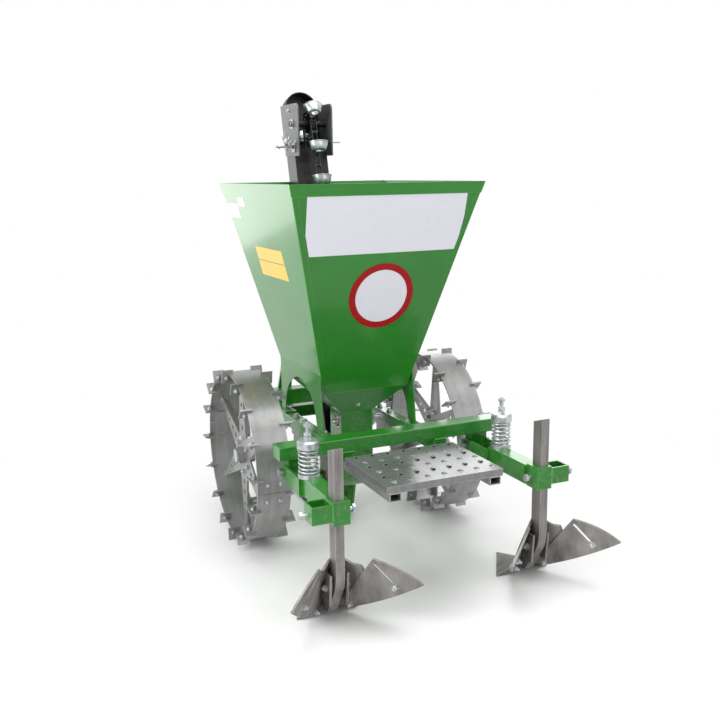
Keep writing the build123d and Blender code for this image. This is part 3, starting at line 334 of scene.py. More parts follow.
# %% Dress the solids
FINISHES = {
    "green_paint": green_paint,
    "black_paint": black_paint,
    "galvanised": galvanised,
    "bare_steel": bare_steel,
    "zinc": zinc,
    "spring_steel": spring_steel,
    "chain_steel": chain_steel,
}
OWN_FINISH = {"head_plates": dull_plate, "step_tray": pressed_sheet}
SLOT_OF = {entry["node"]: entry["material_slot"] for entry in frame["record"]["subparts"]}
for node, solid in NODES.items():
    solid.data.materials.clear()
    solid.data.materials.append(OWN_FINISH.get(node, FINISHES[SLOT_OF[node]]))
print("dressed", len(SLOT_OF), "solids in", len(set(SLOT_OF.values())), "finishes")

# %% [markdown]
# From here on pieces are added. They are written in the plan's millimetres, with Y counted from
# the back of the rear crossbeam, and one line brings them into the frame. Every piece is made of
# skins: a skin is a stack of rings with quads between them, closed by a flat cap at both ends or
# into a loop.

# %% Skins
PLAN_ORIGIN = np.array((0.0, 184.7, 0.0))
MM_A_METRE = 1000.0
SHARP = radians(35)
EASED = 0.3
SIDES = ((-1, "left"), (1, "right"))


def full_turn(columns, start=0.0):
    """Angles of evenly spaced columns round a ring."""
    return 2 * pi * (np.arange(columns) + start) / columns


def skin_faces(rows, columns, looped, start):
    """Quads between neighbouring rings, anticlockwise seen from outside, and a cap at each end."""
    index = np.arange(rows * columns).reshape(rows, columns) + start
    low = index if looped else index[:-1]
    high = np.roll(index, -1, axis=0) if looped else index[1:]
    quads = np.stack((low, np.roll(low, -1, axis=1), np.roll(high, -1, axis=1), high), axis=-1)
    faces = quads.reshape(-1, 4).tolist()
    return faces if looped else faces + [index[0][::-1].tolist(), index[-1].tolist()]


def piece(name, skins, material, body="frame", looped=False):
    """One object from many skins, each an array of rings by columns by 3 in plan millimetres."""
    faces, start = [], 0
    for rings in skins:
        faces += skin_faces(rings.shape[0], rings.shape[1], looped, start)
        start += rings.shape[0] * rings.shape[1]
    points = np.concatenate([rings.reshape(-1, 3) for rings in skins])
    mesh = bpy.data.meshes.new(name)
    mesh.from_pydata(((points - PLAN_ORIGIN) / MM_A_METRE).tolist(), [], faces)
    mesh.shade_smooth()
    mesh.set_sharp_from_angle(angle=SHARP)
    mesh.materials.append(material)
    made = bpy.data.objects.new(name, mesh)
    bpy.context.scene.collection.objects.link(made)
    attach(made, body)
    print(name, "faces", len(faces))
    return made


def turned(profile, columns=16):
    """Profile of (radius, height) pairs carried round the Z axis."""
    radius, height = np.array(profile, float).T
    turn = full_turn(columns)
    x = radius[:, None] * np.cos(turn)
    y = radius[:, None] * np.sin(turn)
    return np.stack((x, y, np.broadcast_to(height[:, None], x.shape)), axis=-1)


def hexed(profile, columns=24):
    """As turned, but the radius is that of a hexagon's corners and shrinks between them."""
    rings = turned(profile, columns)
    shrink = cos(pi / 6) / np.cos((full_turn(columns) % (pi / 3)) - pi / 6)
    rings[1:-1, :, :2] *= shrink[None, :, None]
    return rings


def frame_to(axis):
    """Rotation whose third column is the axis, for shapes that were drawn standing on Z."""
    return np.array(Vector(axis).to_track_quat("Z", "Y").to_matrix())


def stood(rings, place, axis):
    """The rings turned from Z to an axis and moved to a place."""
    return rings @ frame_to(axis).T + np.array(place, float)


def tube(path, radius, columns=8):
    """Circles of one radius across a path, turned so that none of them twists against the next."""
    path = np.array(path, float)
    along = np.gradient(path, axis=0)
    along /= np.linalg.norm(along, axis=1)[:, None]
    spread = np.abs(along).sum(axis=0)
    aside = np.cross(along, np.eye(3)[int(spread.argmin())])
    aside /= np.linalg.norm(aside, axis=1)[:, None]
    over = np.cross(along, aside)
    turn = full_turn(columns)[:, None]
    size = np.broadcast_to(np.asarray(radius, float), (len(path),))[:, None, None]
    ring = aside[:, None, :] * np.cos(turn) + over[:, None, :] * np.sin(turn)
    return path[:, None, :] + ring * size


def slab(outline, place, across, up, thickness):
    """A thin plate: an outline of (u, v) pairs on the plane of across and up, its rim eased."""
    across, up = np.array(across, float), np.array(up, float)
    normal = np.cross(across, up)
    flat = np.array(outline, float)
    middle = flat.mean(axis=0)
    inward = (middle - flat) / np.linalg.norm(middle - flat, axis=1)[:, None]
    rings = []
    for height, inset in ((0.0, 0.0), (thickness - EASED, 0.0), (thickness, EASED)):
        ring = flat + inward * inset
        rings.append(np.array(place) + ring[:, :1] * across + ring[:, 1:] * up + height * normal)
    return np.stack(rings)


print("skins ready", turned([(1, 0), (1, 1)]).shape)

# %% [markdown]
# Hexagon bolts, nuts and washers are everywhere on a farm machine. Each is one short profile
# carried round, with the hexagon's corners eased where the chamfer of a real head cuts them.

# %% Fasteners
WASHER = 1.6
WASHER_TO_HEAD = 1.25
SCREW_TO_HEAD = 0.54
SCREW_PITCH, SCREW_DEPTH = 1.5, 0.35


def bolt_head(radius, height):
    """The head of a bolt, or a nut, by the radius of its corners."""
    return hexed([(radius * 0.86, 0.0), (radius, 0.4), (radius, height - 1.0),
                  (radius * 0.92, height - 0.3), (radius * 0.78, height)])


def washer(radius):
    return turned([(radius - 0.3, 0.0), (radius, 0.3), (radius, WASHER - 0.3),
                   (radius - 0.4, WASHER)], 24)


def screw_end(radius, length):
    """A threaded end: the radius swings between crest and root along the length."""
    count = max(int(length / SCREW_PITCH), 1) * 2 + 1
    height = np.linspace(0.0, length - 1.0, count)
    swing = radius - SCREW_DEPTH * (np.arange(count) % 2)
    return turned([*zip(swing, height), (radius - 1.0, length)], 12)


def bolted(place, outward, radius, height, end=0.0):
    """A washer and a head on a face, with a threaded end beyond the head where end is given."""
    place, outward = np.array(place, float), np.array(outward, float)
    outward = outward / np.linalg.norm(outward)
    parts = [stood(washer(radius * WASHER_TO_HEAD), place, outward),
             stood(bolt_head(radius, height), place + outward * WASHER, outward)]
    if end:
        screw = screw_end(radius * SCREW_TO_HEAD, end)
        parts.append(stood(screw, place + outward * (height + 1.0), outward))
    return parts


print("a head has", bolt_head(9.0, 6.0).shape, "points")

# %% [markdown]
# The coil springs are wire on a helix. Near both ends the pitch closes so that the last turn lies
# flat on its seat, as on a spring that has been squared off. They stand for the plain solids.

# %% Springs
SPRING_X, SPRING_Y = 308.0, -90.0
SPRING_R, WIRE_R = 25.5, 3.2
SPRING_LOW, SPRING_HIGH = 364.2, 427.8
TURNS, STEPS_A_TURN = 6.0, 36
CLOSED, CLOSED_PITCH = 0.75, 2 * WIRE_R * 0.98


def coil(side):
    """Helix whose height follows the turn, slow in the closed turns and even between them."""
    turn = np.linspace(0.0, TURNS, int(TURNS * STEPS_A_TURN) + 1)
    flat, tall = CLOSED_PITCH * CLOSED, SPRING_HIGH - SPRING_LOW
    rise = np.interp(turn, (0.0, CLOSED, TURNS - CLOSED, TURNS), (0.0, flat, tall - flat, tall))
    angle = side * 2 * pi * turn
    x = side * SPRING_X + SPRING_R * np.cos(angle)
    y = SPRING_Y + SPRING_R * np.sin(angle)
    return tube(np.stack((x, y, SPRING_LOW + rise), axis=-1), WIRE_R, 12)


for side, name in SIDES:
    wire = piece(name + "_coil", [coil(side)], spring_steel)
    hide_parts(name + "_spring")

# %% [markdown]
# The chain shows best at the elevator's head. Real links are pairs of waisted plates on round
# rollers, and every third link carries a pressed zinc cup with a drain hole. One array of places
# along the loop, up the back, round the top wheel, down the front and round the bottom one,
# serves them all. The cups are ovals, wider than the plain solids they stand for.

# %% Chain and cups
LEAN = 0.25
LEAN_ANGLE = atan(LEAN)
LOWER_Z, UPPER_Z = 226.0, 1325.0
LINKS_A_SIDE, TEETH = 30, 6
SPAN = (UPPER_Z - LOWER_Z) * hypot(1, LEAN)
LINK_PITCH = SPAN / LINKS_A_SIDE
CHAIN_R = TEETH * LINK_PITCH / (2 * pi)
LINKS = 2 * LINKS_A_SIDE + TEETH
LOWER_Y = 374.97
ROLLER_R = 5.5
EYE_R, WAIST_R, PLATE = 5.2, 3.6, 1.6
PLATE_GAPS = (7.0, 8.9)
PIN_END_X = 10.0
LINKS_A_CUP = 3
CUP_Y = -28.0
CUP_WIDER, CUP_DEEPER = 1.45, 1.08


def chain_places(links):
    """Turn about X and place (y, z) on the pitch line for an array of link numbers."""
    half_turn = TEETH / 2
    top = LINKS_A_SIDE + half_turn
    rising, falling = links <= LINKS_A_SIDE, (links > top) & (links <= top + LINKS_A_SIDE)
    over, under = (links > LINKS_A_SIDE) & (links <= top), links > top + LINKS_A_SIDE
    a_link = 2 * pi / TEETH
    turn = np.where(over, (links - LINKS_A_SIDE) * a_link, 0.0)
    turn = np.where(falling, pi, turn)
    turn = np.where(under, pi + (links - top - LINKS_A_SIDE) * a_link, turn)
    y, z = -CHAIN_R * np.cos(turn), CHAIN_R * np.sin(turn) * (over | under)
    z = z + np.where(rising, links * LINK_PITCH, 0.0) + np.where(over, SPAN, 0.0)
    z = z + np.where(falling, SPAN - (links - top) * LINK_PITCH, 0.0)
    return turn, y, z


def along_chain(rings, links):
    """Copies of one shape, Y inwards and Z along the chain, at an array of link numbers."""
    turn, y, z = chain_places(np.asarray(links, float))
    c, s = np.cos(-turn)[:, None, None], np.sin(-turn)[:, None, None]
    local_y = rings[..., 1] * c - rings[..., 2] * s + y[:, None, None]
    local_z = rings[..., 1] * s + rings[..., 2] * c + z[:, None, None]
    c, s = cos(-LEAN_ANGLE), sin(-LEAN_ANGLE)
    x = np.broadcast_to(rings[..., 0], local_y.shape)
    y, z = local_y * c - local_z * s + LOWER_Y, local_y * s + local_z * c + LOWER_Z
    return list(np.stack((x, y, z), axis=-1))


def link_plate(x0, x1):
    """A waisted plate between two pins: its half width swings from the eye's to the waist's."""
    turn = full_turn(24)
    z = (LINK_PITCH / 2 + EYE_R) * np.cos(turn)
    past_pin = (np.abs(z) - LINK_PITCH / 2) / EYE_R
    half_width = WAIST_R + (EYE_R - WAIST_R) * np.clip(past_pin + 1.0, 0.0, 1.0)
    rounding = (1.0 - np.clip(past_pin, 0.0, 1.0) ** 2) ** 0.5
    y = np.sign(np.round(np.sin(turn), 6)) * half_width * rounding
    return np.stack([np.stack((np.full(24, x), -y, z), axis=-1) for x in (x0, x1)])


def cup_shell():
    """The bowl's wall, a closed profile: hole, foot, rolled rim and back down inside."""
    outside = [(8.0, -15.0), (11.5, -15.0), (14.6, -13.2), (17.0, -9.0), (20.2, 3.0), (21.8, 13.2)]
    rim = [(23.2, 14.2), (23.2, 16.2), (21.6, 16.6)]
    inside = [(20.2, 14.0), (18.6, 3.0), (15.4, -8.4), (13.4, -11.6), (10.8, -13.2), (8.0, -13.2)]
    bowl = turned(outside + rim + inside, 28)
    return bowl * np.array((CUP_WIDER, CUP_DEEPER, 1.0)) + np.array((0.0, CUP_Y, 0.0))


def towards_corners(wave):
    """A sine or cosine pushed out, which turns a circle into a square with round corners."""
    return np.sign(wave) * np.abs(wave) ** 0.5


def cup_stem():
    """The bracket between chain and bowl, a bar that spreads towards the chain."""
    reach, half_width, half_height = np.array((
        (-3.6, -6.0, -9.0, -12.0),
        (9.6, 9.0, 7.0, 6.5),
        (9.0, 9.0, 8.0, 8.0)))[:, :, None]
    turn = full_turn(16, 0.5)
    x = half_width * towards_corners(np.cos(turn))
    z = half_height * towards_corners(np.sin(turn)) - 2.0
    return np.stack((x, np.broadcast_to(reach, x.shape), z), axis=-1)


def lying(profile, columns):
    """A turned profile with its axis laid along X, as a chain's rollers and pins lie."""
    return turned(profile, columns)[..., [2, 0, 1]]


def chain_parts(links):
    """Rollers, plates in two layers a side, and the pins' riveted ends."""
    roller = lying([(5.0, -7.5), (ROLLER_R, -7.0), (ROLLER_R, 7.0), (5.0, 7.5)], 12)
    skins = along_chain(roller, links)
    for side in (-1, 1):
        for parity, gap in enumerate(PLATE_GAPS):
            x0, x1 = sorted((side * gap, side * (gap + PLATE)))
            skins += along_chain(link_plate(x0, x1), links[parity::2] + 0.5)
        pin = lying([(2.2, 0.0), (2.8, 0.4), (2.8, 1.6), (2.0, 2.2)], 10)
        pin = pin if side > 0 else (pin * (-1.0, 1.0, 1.0))[:, ::-1]
        skins += along_chain(pin + np.array((side * PIN_END_X, 0.0, 0.0)), links)
    return skins


links = np.arange(LINKS)
cup_links = links[::LINKS_A_CUP] + 0.5
chain = piece("chain_links", chain_parts(links), chain_steel)
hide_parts("cup_chain")
cups = piece("chain_cups", along_chain(cup_shell(), cup_links), zinc, looped=True)
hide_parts("cup_chain")
piece("cup_stems", along_chain(cup_stem(), cup_links), zinc)

# %% [markdown]
# The hopper's stickers are thin vinyl films that lie on its sloping walls. They stay blank: only
# their outlines and colours follow the real ones. A film is a slab whose outline is given across
# and up the wall, so its place is worked out from the wall's own slope.

# %% Blank stickers
RIM_Z = 1134.0
REAR_Y, REAR_SLOPE = 13.0, 0.307
SIDE_X, SIDE_SLOPE = 303.0, 0.25087
FILM, SIGN_FILM = 0.5, 0.8
ACROSS, BACK = np.array((1.0, 0.0, 0.0)), np.array((0.0, -1.0, 0.0))
REAR_UP = np.array((0.0, -REAR_SLOPE, 1.0)) / hypot(1, REAR_SLOPE)
SIDE_UP = np.array((-SIDE_SLOPE, 0.0, 1.0)) / hypot(1, SIDE_SLOPE)


def rear_point(x, z):
    """A point on the outside of the rear wall."""
    return np.array((x, REAR_Y + REAR_SLOPE * (RIM_Z - z), z))


def left_point(y, z):
    """A point on the outside of the left wall."""
    return np.array((-SIDE_X + SIDE_SLOPE * (RIM_Z - z), y, z))


def on_rear(pairs, middle, thickness):
    """A flat piece on the rear wall, its outline from (x, z) pairs round a middle."""
    outline = [(x - middle[0], (z - middle[1]) * hypot(1, REAR_SLOPE)) for x, z in pairs]
    return slab(outline, rear_point(*middle), ACROSS, REAR_UP, thickness)


def on_left(y0, y1, z0, z1):
    """A rectangle of film on the left wall."""
    half_y, half_z = (y1 - y0) / 2, (z1 - z0) / 2 * hypot(1, SIDE_SLOPE)
    corners = [(-half_y, -half_z), (half_y, -half_z), (half_y, half_z), (-half_y, half_z)]
    return slab(corners, left_point((y0 + y1) / 2, (z0 + z1) / 2), BACK, SIDE_UP, FILM)


def disc(radius):
    turn = full_turn(72)
    return radius * np.stack((np.cos(turn), np.sin(turn)), axis=-1)


def rear_ring(middle, profile):
    """A ring on the rear wall: (radius, height) pairs carried round its middle."""
    turn = full_turn(96)[:, None]
    outward = np.cos(turn) * ACROSS + np.sin(turn) * REAR_UP
    normal = np.cross(ACROSS, REAR_UP)
    return np.stack([rear_point(*middle) + r * outward + h * normal for r, h in profile])


LABEL_MIDDLE = (3.0, 1018.0)
LABEL = ((240, 934), (253, 1035), (252, 1104), (-249, 1102), (-245, 993), (-229, 932))
SIGN_MIDDLE = (12.0, 802.0)
SIGN_R, RING_IN, RING_OUT = 104.0, 84.0, 104.3
RING_PROFILE = ((RING_IN, 0.3), (RING_OUT, 0.3), (RING_OUT, 1.2),
                (RING_OUT - 0.3, 1.5), (RING_IN + 0.3, 1.5), (RING_IN, 1.2))
YELLOW_FILMS = ((244, 495, 896, 937), (244, 495, 846, 893))
WHITE_FILMS = ((565, 682, 1023, 1069), (486, 556, 1061, 1091))
sign = slab(disc(SIGN_R), rear_point(*SIGN_MIDDLE), ACROSS, REAR_UP, SIGN_FILM)
piece("rear_label", [on_rear(LABEL, LABEL_MIDDLE, FILM)], white_vinyl)
piece("round_sign", [sign], white_vinyl)
piece("sign_ring", [rear_ring(SIGN_MIDDLE, RING_PROFILE)], red_vinyl, looped=True)
piece("yellow_label", [on_left(*film) for film in YELLOW_FILMS], yellow_vinyl)
piece("side_stickers", [on_left(*film) for film in WHITE_FILMS], white_vinyl)

# %% [markdown]
# Each wall of the hopper is folded round its neighbour, which leaves a narrow lap along the
# corners. A flat strip a millimetre proud of the wall is enough to catch the light.

# %% Lapped edges
LAP_OUT, LAP_IN = 1.0, 18.0
LAP_LOW, LAP_HIGH = 600.0, 1099.0
LAP_PROUD = 1.2


def lap(side):
    """A strip along a corner of the rear wall, as far in from the corner at both its ends."""
    insets = ((LAP_LOW, LAP_OUT), (LAP_HIGH, LAP_OUT), (LAP_HIGH, LAP_IN), (LAP_LOW, LAP_IN))
    pairs = [(side * (SIDE_X - SIDE_SLOPE * (RIM_Z - z) - inset), z) for z, inset in insets]
    pairs = pairs if side > 0 else pairs[::-1]
    return on_rear(pairs, np.mean(pairs, axis=0), LAP_PROUD)


piece("rear_laps", [lap(-1), lap(1)], green_paint)

# %% [markdown]
# The platform's sheet is pressed into two kinds of stud, in rows that are shifted sideways
# against each other. One kind is a closed drop, the other a scoop whose open mouth at the rear
# gives a boot its grip.

# %% Platform studs
STEP_TOP = 367.0
STUD_SUNK = 0.1
ROWS, COLUMNS = 6, 7
STUD_PITCH, ROW_PITCH = 50.0, 46.5
FIRST_ROW, FIRST_STUD = -44.0, (-149.0, -139.0)
STUD_HEIGHT, STUD_HALF_X, STUD_HALF_Y, STUD_DRAWN = 4.2, 8.4, 9.6, 0.32


def closed_stud():
    """A drop: rings that shrink while they rise, drawn out to the rear by a cubed sine."""
    turn = full_turn(18)
    share = np.array((1.0, 0.86, 0.62, 0.34, 0.08))
    height = STUD_HEIGHT * (1.0 - share ** 2)
    drawn = 1.0 + STUD_DRAWN * (np.sin(turn) < 0) * np.abs(np.sin(turn)) ** 3
    x = STUD_HALF_X * share[:, None] * np.cos(turn)
    y = STUD_HALF_Y * share[:, None] * np.sin(turn) * drawn
    return np.stack((x, y, np.broadcast_to(height[:, None], x.shape)), axis=-1)


def arch_rings(widths, heights, places):
    """Half ovals that stand on the sheet one behind the other, each closed by its own foot line."""
    turn = np.linspace(0.0, pi, 10)
    x = np.array(widths)[:, None] * np.cos(turn)
    z = np.array(heights)[:, None] * np.sin(turn) ** 0.8
    return np.stack((x, np.broadcast_to(np.array(places)[:, None], x.shape), z), axis=-1)[:, ::-1]


def open_stud():
    """A scoop: arches that start wide at its mouth in the rear and run out towards the front."""
    widths, heights = (6.6, 7.0, 6.2, 4.4, 1.2), (4.6, 5.0, 4.2, 2.4, 0.4)
    return arch_rings(widths, heights, (-6.0, -3.0, 2.0, 7.0, 11.0))


def stud_mouth():
    """A near-black sheet in a scoop's mouth: painted shade for the hollow inside."""
    return arch_rings((5.2, 5.2), (3.6, 3.6), (-6.5, -5.0))


studs, scoops, mouths = [], [], []
for row in range(ROWS):
    for column in range(COLUMNS):
        x, y = FIRST_STUD[row % 2] + STUD_PITCH * column, FIRST_ROW - ROW_PITCH * row
        place = np.array((x, y, STEP_TOP - STUD_SUNK))
        if row % 2:
            studs.append(closed_stud() + place)
        else:
            scoops.append(open_stud() + place)
            mouths.append(stud_mouth() + place)
piece("step_studs", studs, pressed_sheet)
piece("step_scoops", scoops, pressed_sheet)
# Each scoop's mouth holds a near-black sheet: painted shade.
piece("scoop_mouths", mouths, hole_shade)

# %% [markdown]
# The ridger's slotted wings hang on two bolts each, one through the end of the slot and one low
# down beside the shank. The bolts stand square to the wing, so they need the wing's own axes.
# In front of the wing each has a round domed head.

# %% Ridger bolts
SHANK_X = 310.0
WING_ORIGIN = np.array((40.0, -236.0, 26.0))
WING_SWEEP, WING_TILT = radians(43.9), radians(18.8)
WING_ALONG = np.array((sin(WING_SWEEP), -cos(WING_SWEEP), 0.0))
WING_BACKWARD = np.array((-cos(WING_SWEEP) * cos(WING_TILT), -sin(WING_SWEEP) * cos(WING_TILT),
                          -sin(WING_TILT)))
WING_UP = np.cross(WING_BACKWARD, WING_ALONG)
WING_BOLTS = (
    # along the wing, up it, and from its back through to the domed head
    (158.0, 101.0, 5.0),
    (17.0, 10.0, 11.0),
)
DOME = ((9.0, 0.0), (8.4, 1.8), (6.0, 3.4), (2.0, 4.2))
SHANK_BOLT = (27.0, -275.0, 108.0)
# radius, height and threaded end of the bolts' nuts
WING_NUT, SHANK_NUT = (8.5, 7.0, 7.0), (10.0, 7.0, 5.0)


def wing_bolts(shank_x, hand):
    """The bolts of one wing, drawn for the right hand one and flipped for the other."""
    parts = []
    flip = np.array((hand, 1.0, 1.0))
    backward = WING_BACKWARD * flip
    for along, up, through in WING_BOLTS:
        place = (WING_ORIGIN + WING_ALONG * along + WING_UP * up) * flip + (shank_x, 0.0, 0.0)
        parts += bolted(place, backward, *WING_NUT)
        parts.append(stood(turned(DOME, 20), place - backward * through, -backward))
    return parts


ridger_bolts = []
for side in (-1, 1):
    for hand in (-1, 1):
        ridger_bolts += wing_bolts(side * SHANK_X, hand)
    for hand in (-1, 1):
        place = np.array(SHANK_BOLT) * (hand, 1.0, 1.0) + (side * SHANK_X, 0.0, 0.0)
        ridger_bolts += bolted(place, (hand, 0.0, 0.0), *SHANK_NUT)
piece("ridger_bolts", ridger_bolts, zinc)

# %% [markdown]
# More fasteners hold the frame together: on the axle's bearings, the hopper's feet, the flange
# bearings of the agitator, the head plates and the funnel. All are one table of places on the
# right side, each with its direction and size, and a loop mirrors it to the left.

# %% Frame bolts
LONG_X, LONG_TOP, BEARING_FOOT = 151.0, 372.0, 318.0
WHEEL_Y, WHEEL_Z = 395.0, 281.0
HEAD_X, HEAD_Y = 62.3, 649.7
OUT, UP, DOWN = (1, 0, 0), (0, 0, 1), (0, 0, -1)
BOLT_GROUPS = (
    # middle of the group, (y, z) from it, direction, radius, height and threaded end
    ((LONG_X, WHEEL_Y, LONG_TOP), ((-37.0, 0.0), (37.0, 0.0)), UP, 9.5, 6.5, 6.0),
    ((LONG_X, WHEEL_Y, BEARING_FOOT), ((-37.0, 0.0), (37.0, 0.0)), DOWN, 9.5, 7.0, 6.0),
    ((144.0, 366.0, LONG_TOP + 5.0), ((-164.0, 0.0), (164.0, 0.0)), UP, 8.0, 5.5, 0.0),
    ((61.0, 306.0, 378.0), ((-15.5, -15.5), (-15.5, 15.5), (15.5, -15.5), (15.5, 15.5)),
     OUT, 4.6, 4.0, 0.0),
    ((HEAD_X, HEAD_Y, UPPER_Z), ((-34.0, -62.0), (20.0, -62.0), (28.0, 44.0)),
     OUT, 6.0, 4.5, 0.0),
    ((HEAD_X, HEAD_Y, UPPER_Z), ((0.0, 0.0),), OUT, 12.5, 8.0, 0.0),
)
FUNNEL_PLACE, FUNNEL_OUT = (-7.0, 257.0, 440.0), (0.0, -1.0, -0.8393)

frame_bolts = []
for side in (-1, 1):
    for middle, offsets, outward, radius, height, end in BOLT_GROUPS:
        for dy, dz in offsets:
            place = (side * middle[0], middle[1] + dy, middle[2] + dz)
            frame_bolts += bolted(place, (side * outward[0], *outward[1:]), radius, height, end)
frame_bolts += bolted(FUNNEL_PLACE, FUNNEL_OUT, 6.5, 4.5)
piece("frame_bolts", frame_bolts, zinc)

# %% [markdown]
# The chain is kept tight by a screw on the left head plate's bracket. A wing nut turns it by hand,
# a second screw locks it, and a thin spring wire runs up to the plate's top.

# %% Chain tensioner
SHELF_Y, SHELF_Z = 634.0, 1266.0
SCREW_X = -90.0
SCREW_R, SCREW_LENGTH, SCREW_BELOW, NUT_BELOW = 3.6, 62.0, 38.0, 4.0
LOCK_Y, LOCK_Z = SHELF_Y + 2.0, 1250.0
LOCK_START, LOCK_NUTS = -66.0, (-66.3, -112.0)
NUT_R, NUT_HEIGHT = 7.0, 5.5
EAR_X, EAR_Z, EAR_HALF_X, EAR_HALF_Z = 9.0, 10.0, 6.0, 8.5
EAR_TURNED, EAR_LEAN = 0.75, 0.45
WING_WASHER_R = 8.5
SPRING_WIRE_R = 0.9


def wing(side):
    """One ear of a wing nut: an oval that leans outwards, thin at its edge."""
    turn = full_turn(16)
    share = np.array((0.75, 1.0, 1.0, 0.75))
    depth = np.array((-1.5, -0.8, 0.8, 1.5))
    along = share[:, None] * EAR_HALF_X * np.cos(turn)
    upward = share[:, None] * EAR_HALF_Z * np.sin(turn)
    x = side * (EAR_X + along * EAR_TURNED + upward * EAR_LEAN)
    y = np.broadcast_to(depth[:, None], x.shape)
    rings = np.stack((x, y, EAR_Z + upward), axis=-1)
    return rings[:, ::-1] if side > 0 else rings


def tensioner():
    """The upright screw with its wing nut, and the lying one with a nut at either end."""
    place = np.array((SCREW_X, SHELF_Y, SHELF_Z))
    hub = turned([(6.5, 0.0), (7.0, 0.6), (5.6, 7.0), (4.4, 8.0)], 18)
    screw, nut = screw_end(SCREW_R, SCREW_LENGTH), bolt_head(NUT_R, NUT_HEIGHT)
    left = (-1, 0, 0)
    return [stood(washer(WING_WASHER_R), place, UP), hub + place + (0.0, 0.0, WASHER),
            wing(-1) + place, wing(1) + place, screw + place - (0.0, 0.0, SCREW_BELOW),
            stood(nut, place - (0.0, 0.0, NUT_BELOW), DOWN),
            stood(screw, (LOCK_START, LOCK_Y, LOCK_Z), left),
            *[stood(nut, (x, LOCK_Y, LOCK_Z), left) for x in LOCK_NUTS]]


def smooth_path(corners, steps, rounds):
    """Points along a chain of corners, each round pulled towards the middle of its neighbours."""
    corners = np.array(corners)
    number = np.arange(len(corners))
    share = np.linspace(0.0, len(corners) - 1.0, steps)
    path = np.stack([np.interp(share, number, line) for line in corners.T], axis=-1)
    for _ in range(rounds):
        path[1:-1] = (path[:-2] + path[1:-1] * 2 + path[2:]) / 4
    return path


WIRE_CORNERS = ((-60.5, 604.0, 1382.0), (-64.0, 604.0, 1386.0), (-74.0, 609.0, 1376.0),
                (-84.0, 619.0, 1354.0), (-93.0, 629.0, 1318.0), (-96.0, 634.0, 1286.0),
                (-94.0, 636.0, 1270.0))
piece("chain_tensioner", tensioner(), zinc)
wire_path = smooth_path(WIRE_CORNERS, 40, 4)
piece("tensioner_wire", [tube(wire_path, SPRING_WIRE_R)], zinc)

# %% [markdown]
# On the wheels each lug has its own bolt, with a head on one face and a nut on the other, and
# rivets hold the straps over the rim's joints. The star's arms are bolted round the hub. These
# pieces ride on the wheels, so they turn with them.

# %% Wheel fasteners
WHEEL_OUT, WHEEL_IN = 389.0, 284.0
STAR_X, STAR_HALF = 348.0, 3.0
ARMS, ARM_TURN, FIRST_ARM = 6, 60.0, 90.0
LUGS, LUG_TURN = 16, 22.5
LUG_BOLT_R, LUG_BOLT_OUT, LUG_HALF, LUG_SCREW = 256.0, 7.0, 2.5, 3.5
LUG_HEAD, HUB_NUT = (6.2, 4.2), (8.0, 5.5, 4.0)
HUB_BOLT_R = 56.0
JOINT_TURNS, STRAP_X, STRAP_R = (10.0, 190.0), 336.5, 269.6
RIVET_SPOTS = ((-20.0, -28.0), (20.0, -28.0), (-20.0, 28.0), (20.0, 28.0))
RIVET = ((6.5, 0.0), (6.5, 0.4), (5.4, 2.0), (3.0, 3.0), (0.8, 3.3))


def about_wheel(rings, degrees):
    """Rings turned about the wheel's axle, from a place given as if the axle were at zero."""
    turn = radians(degrees)
    y = rings[..., 1] * cos(turn) - rings[..., 2] * sin(turn) + WHEEL_Y
    z = rings[..., 1] * sin(turn) + rings[..., 2] * cos(turn) + WHEEL_Z
    return np.stack((rings[..., 0], y, z), axis=-1)


def wheel_fasteners(side):
    """Lug bolts on both edges, rivets on the straps and bolts round the hub, for one wheel."""
    parts = []
    for edge, outward, phase in ((WHEEL_OUT, side, 0.0), (WHEEL_IN, -side, 0.5)):
        x = side * edge + outward * LUG_BOLT_OUT
        for face, end in ((-1, 0.0), (1, LUG_SCREW)):
            head = bolted((x, LUG_BOLT_R, face * LUG_HALF), (0, 0, face), *LUG_HEAD, end)
            for lug in range(LUGS):
                parts += [about_wheel(rings, LUG_TURN * (lug + phase)) for rings in head]
    for joint in JOINT_TURNS:
        for across, along in RIVET_SPOTS:
            rivet = stood(turned(RIVET), (side * STRAP_X + across, STRAP_R, along), (0, 1, 0))
            parts.append(about_wheel(rivet, joint))
    for face in (-1, 1):
        place = (side * (STAR_X + face * STAR_HALF), HUB_BOLT_R, 0.0)
        head = bolted(place, (side * face, 0, 0), *HUB_NUT)
        for arm in range(ARMS):
            parts += [about_wheel(rings, FIRST_ARM + ARM_TURN * arm) for rings in head]
    return parts


for side, name in SIDES:
    piece(name + "_wheel_bolts", wheel_fasteners(side), zinc, body=name + "_wheel")

# %% [markdown]
# A weld is a ripple of overlapping puddles. A tube along the seam does it, half sunk into both
# parts, with a radius that swings a little every couple of millimetres. The frame's seams are a
# table for the right side, and the wheels have short ones where the star's arms meet the rim.

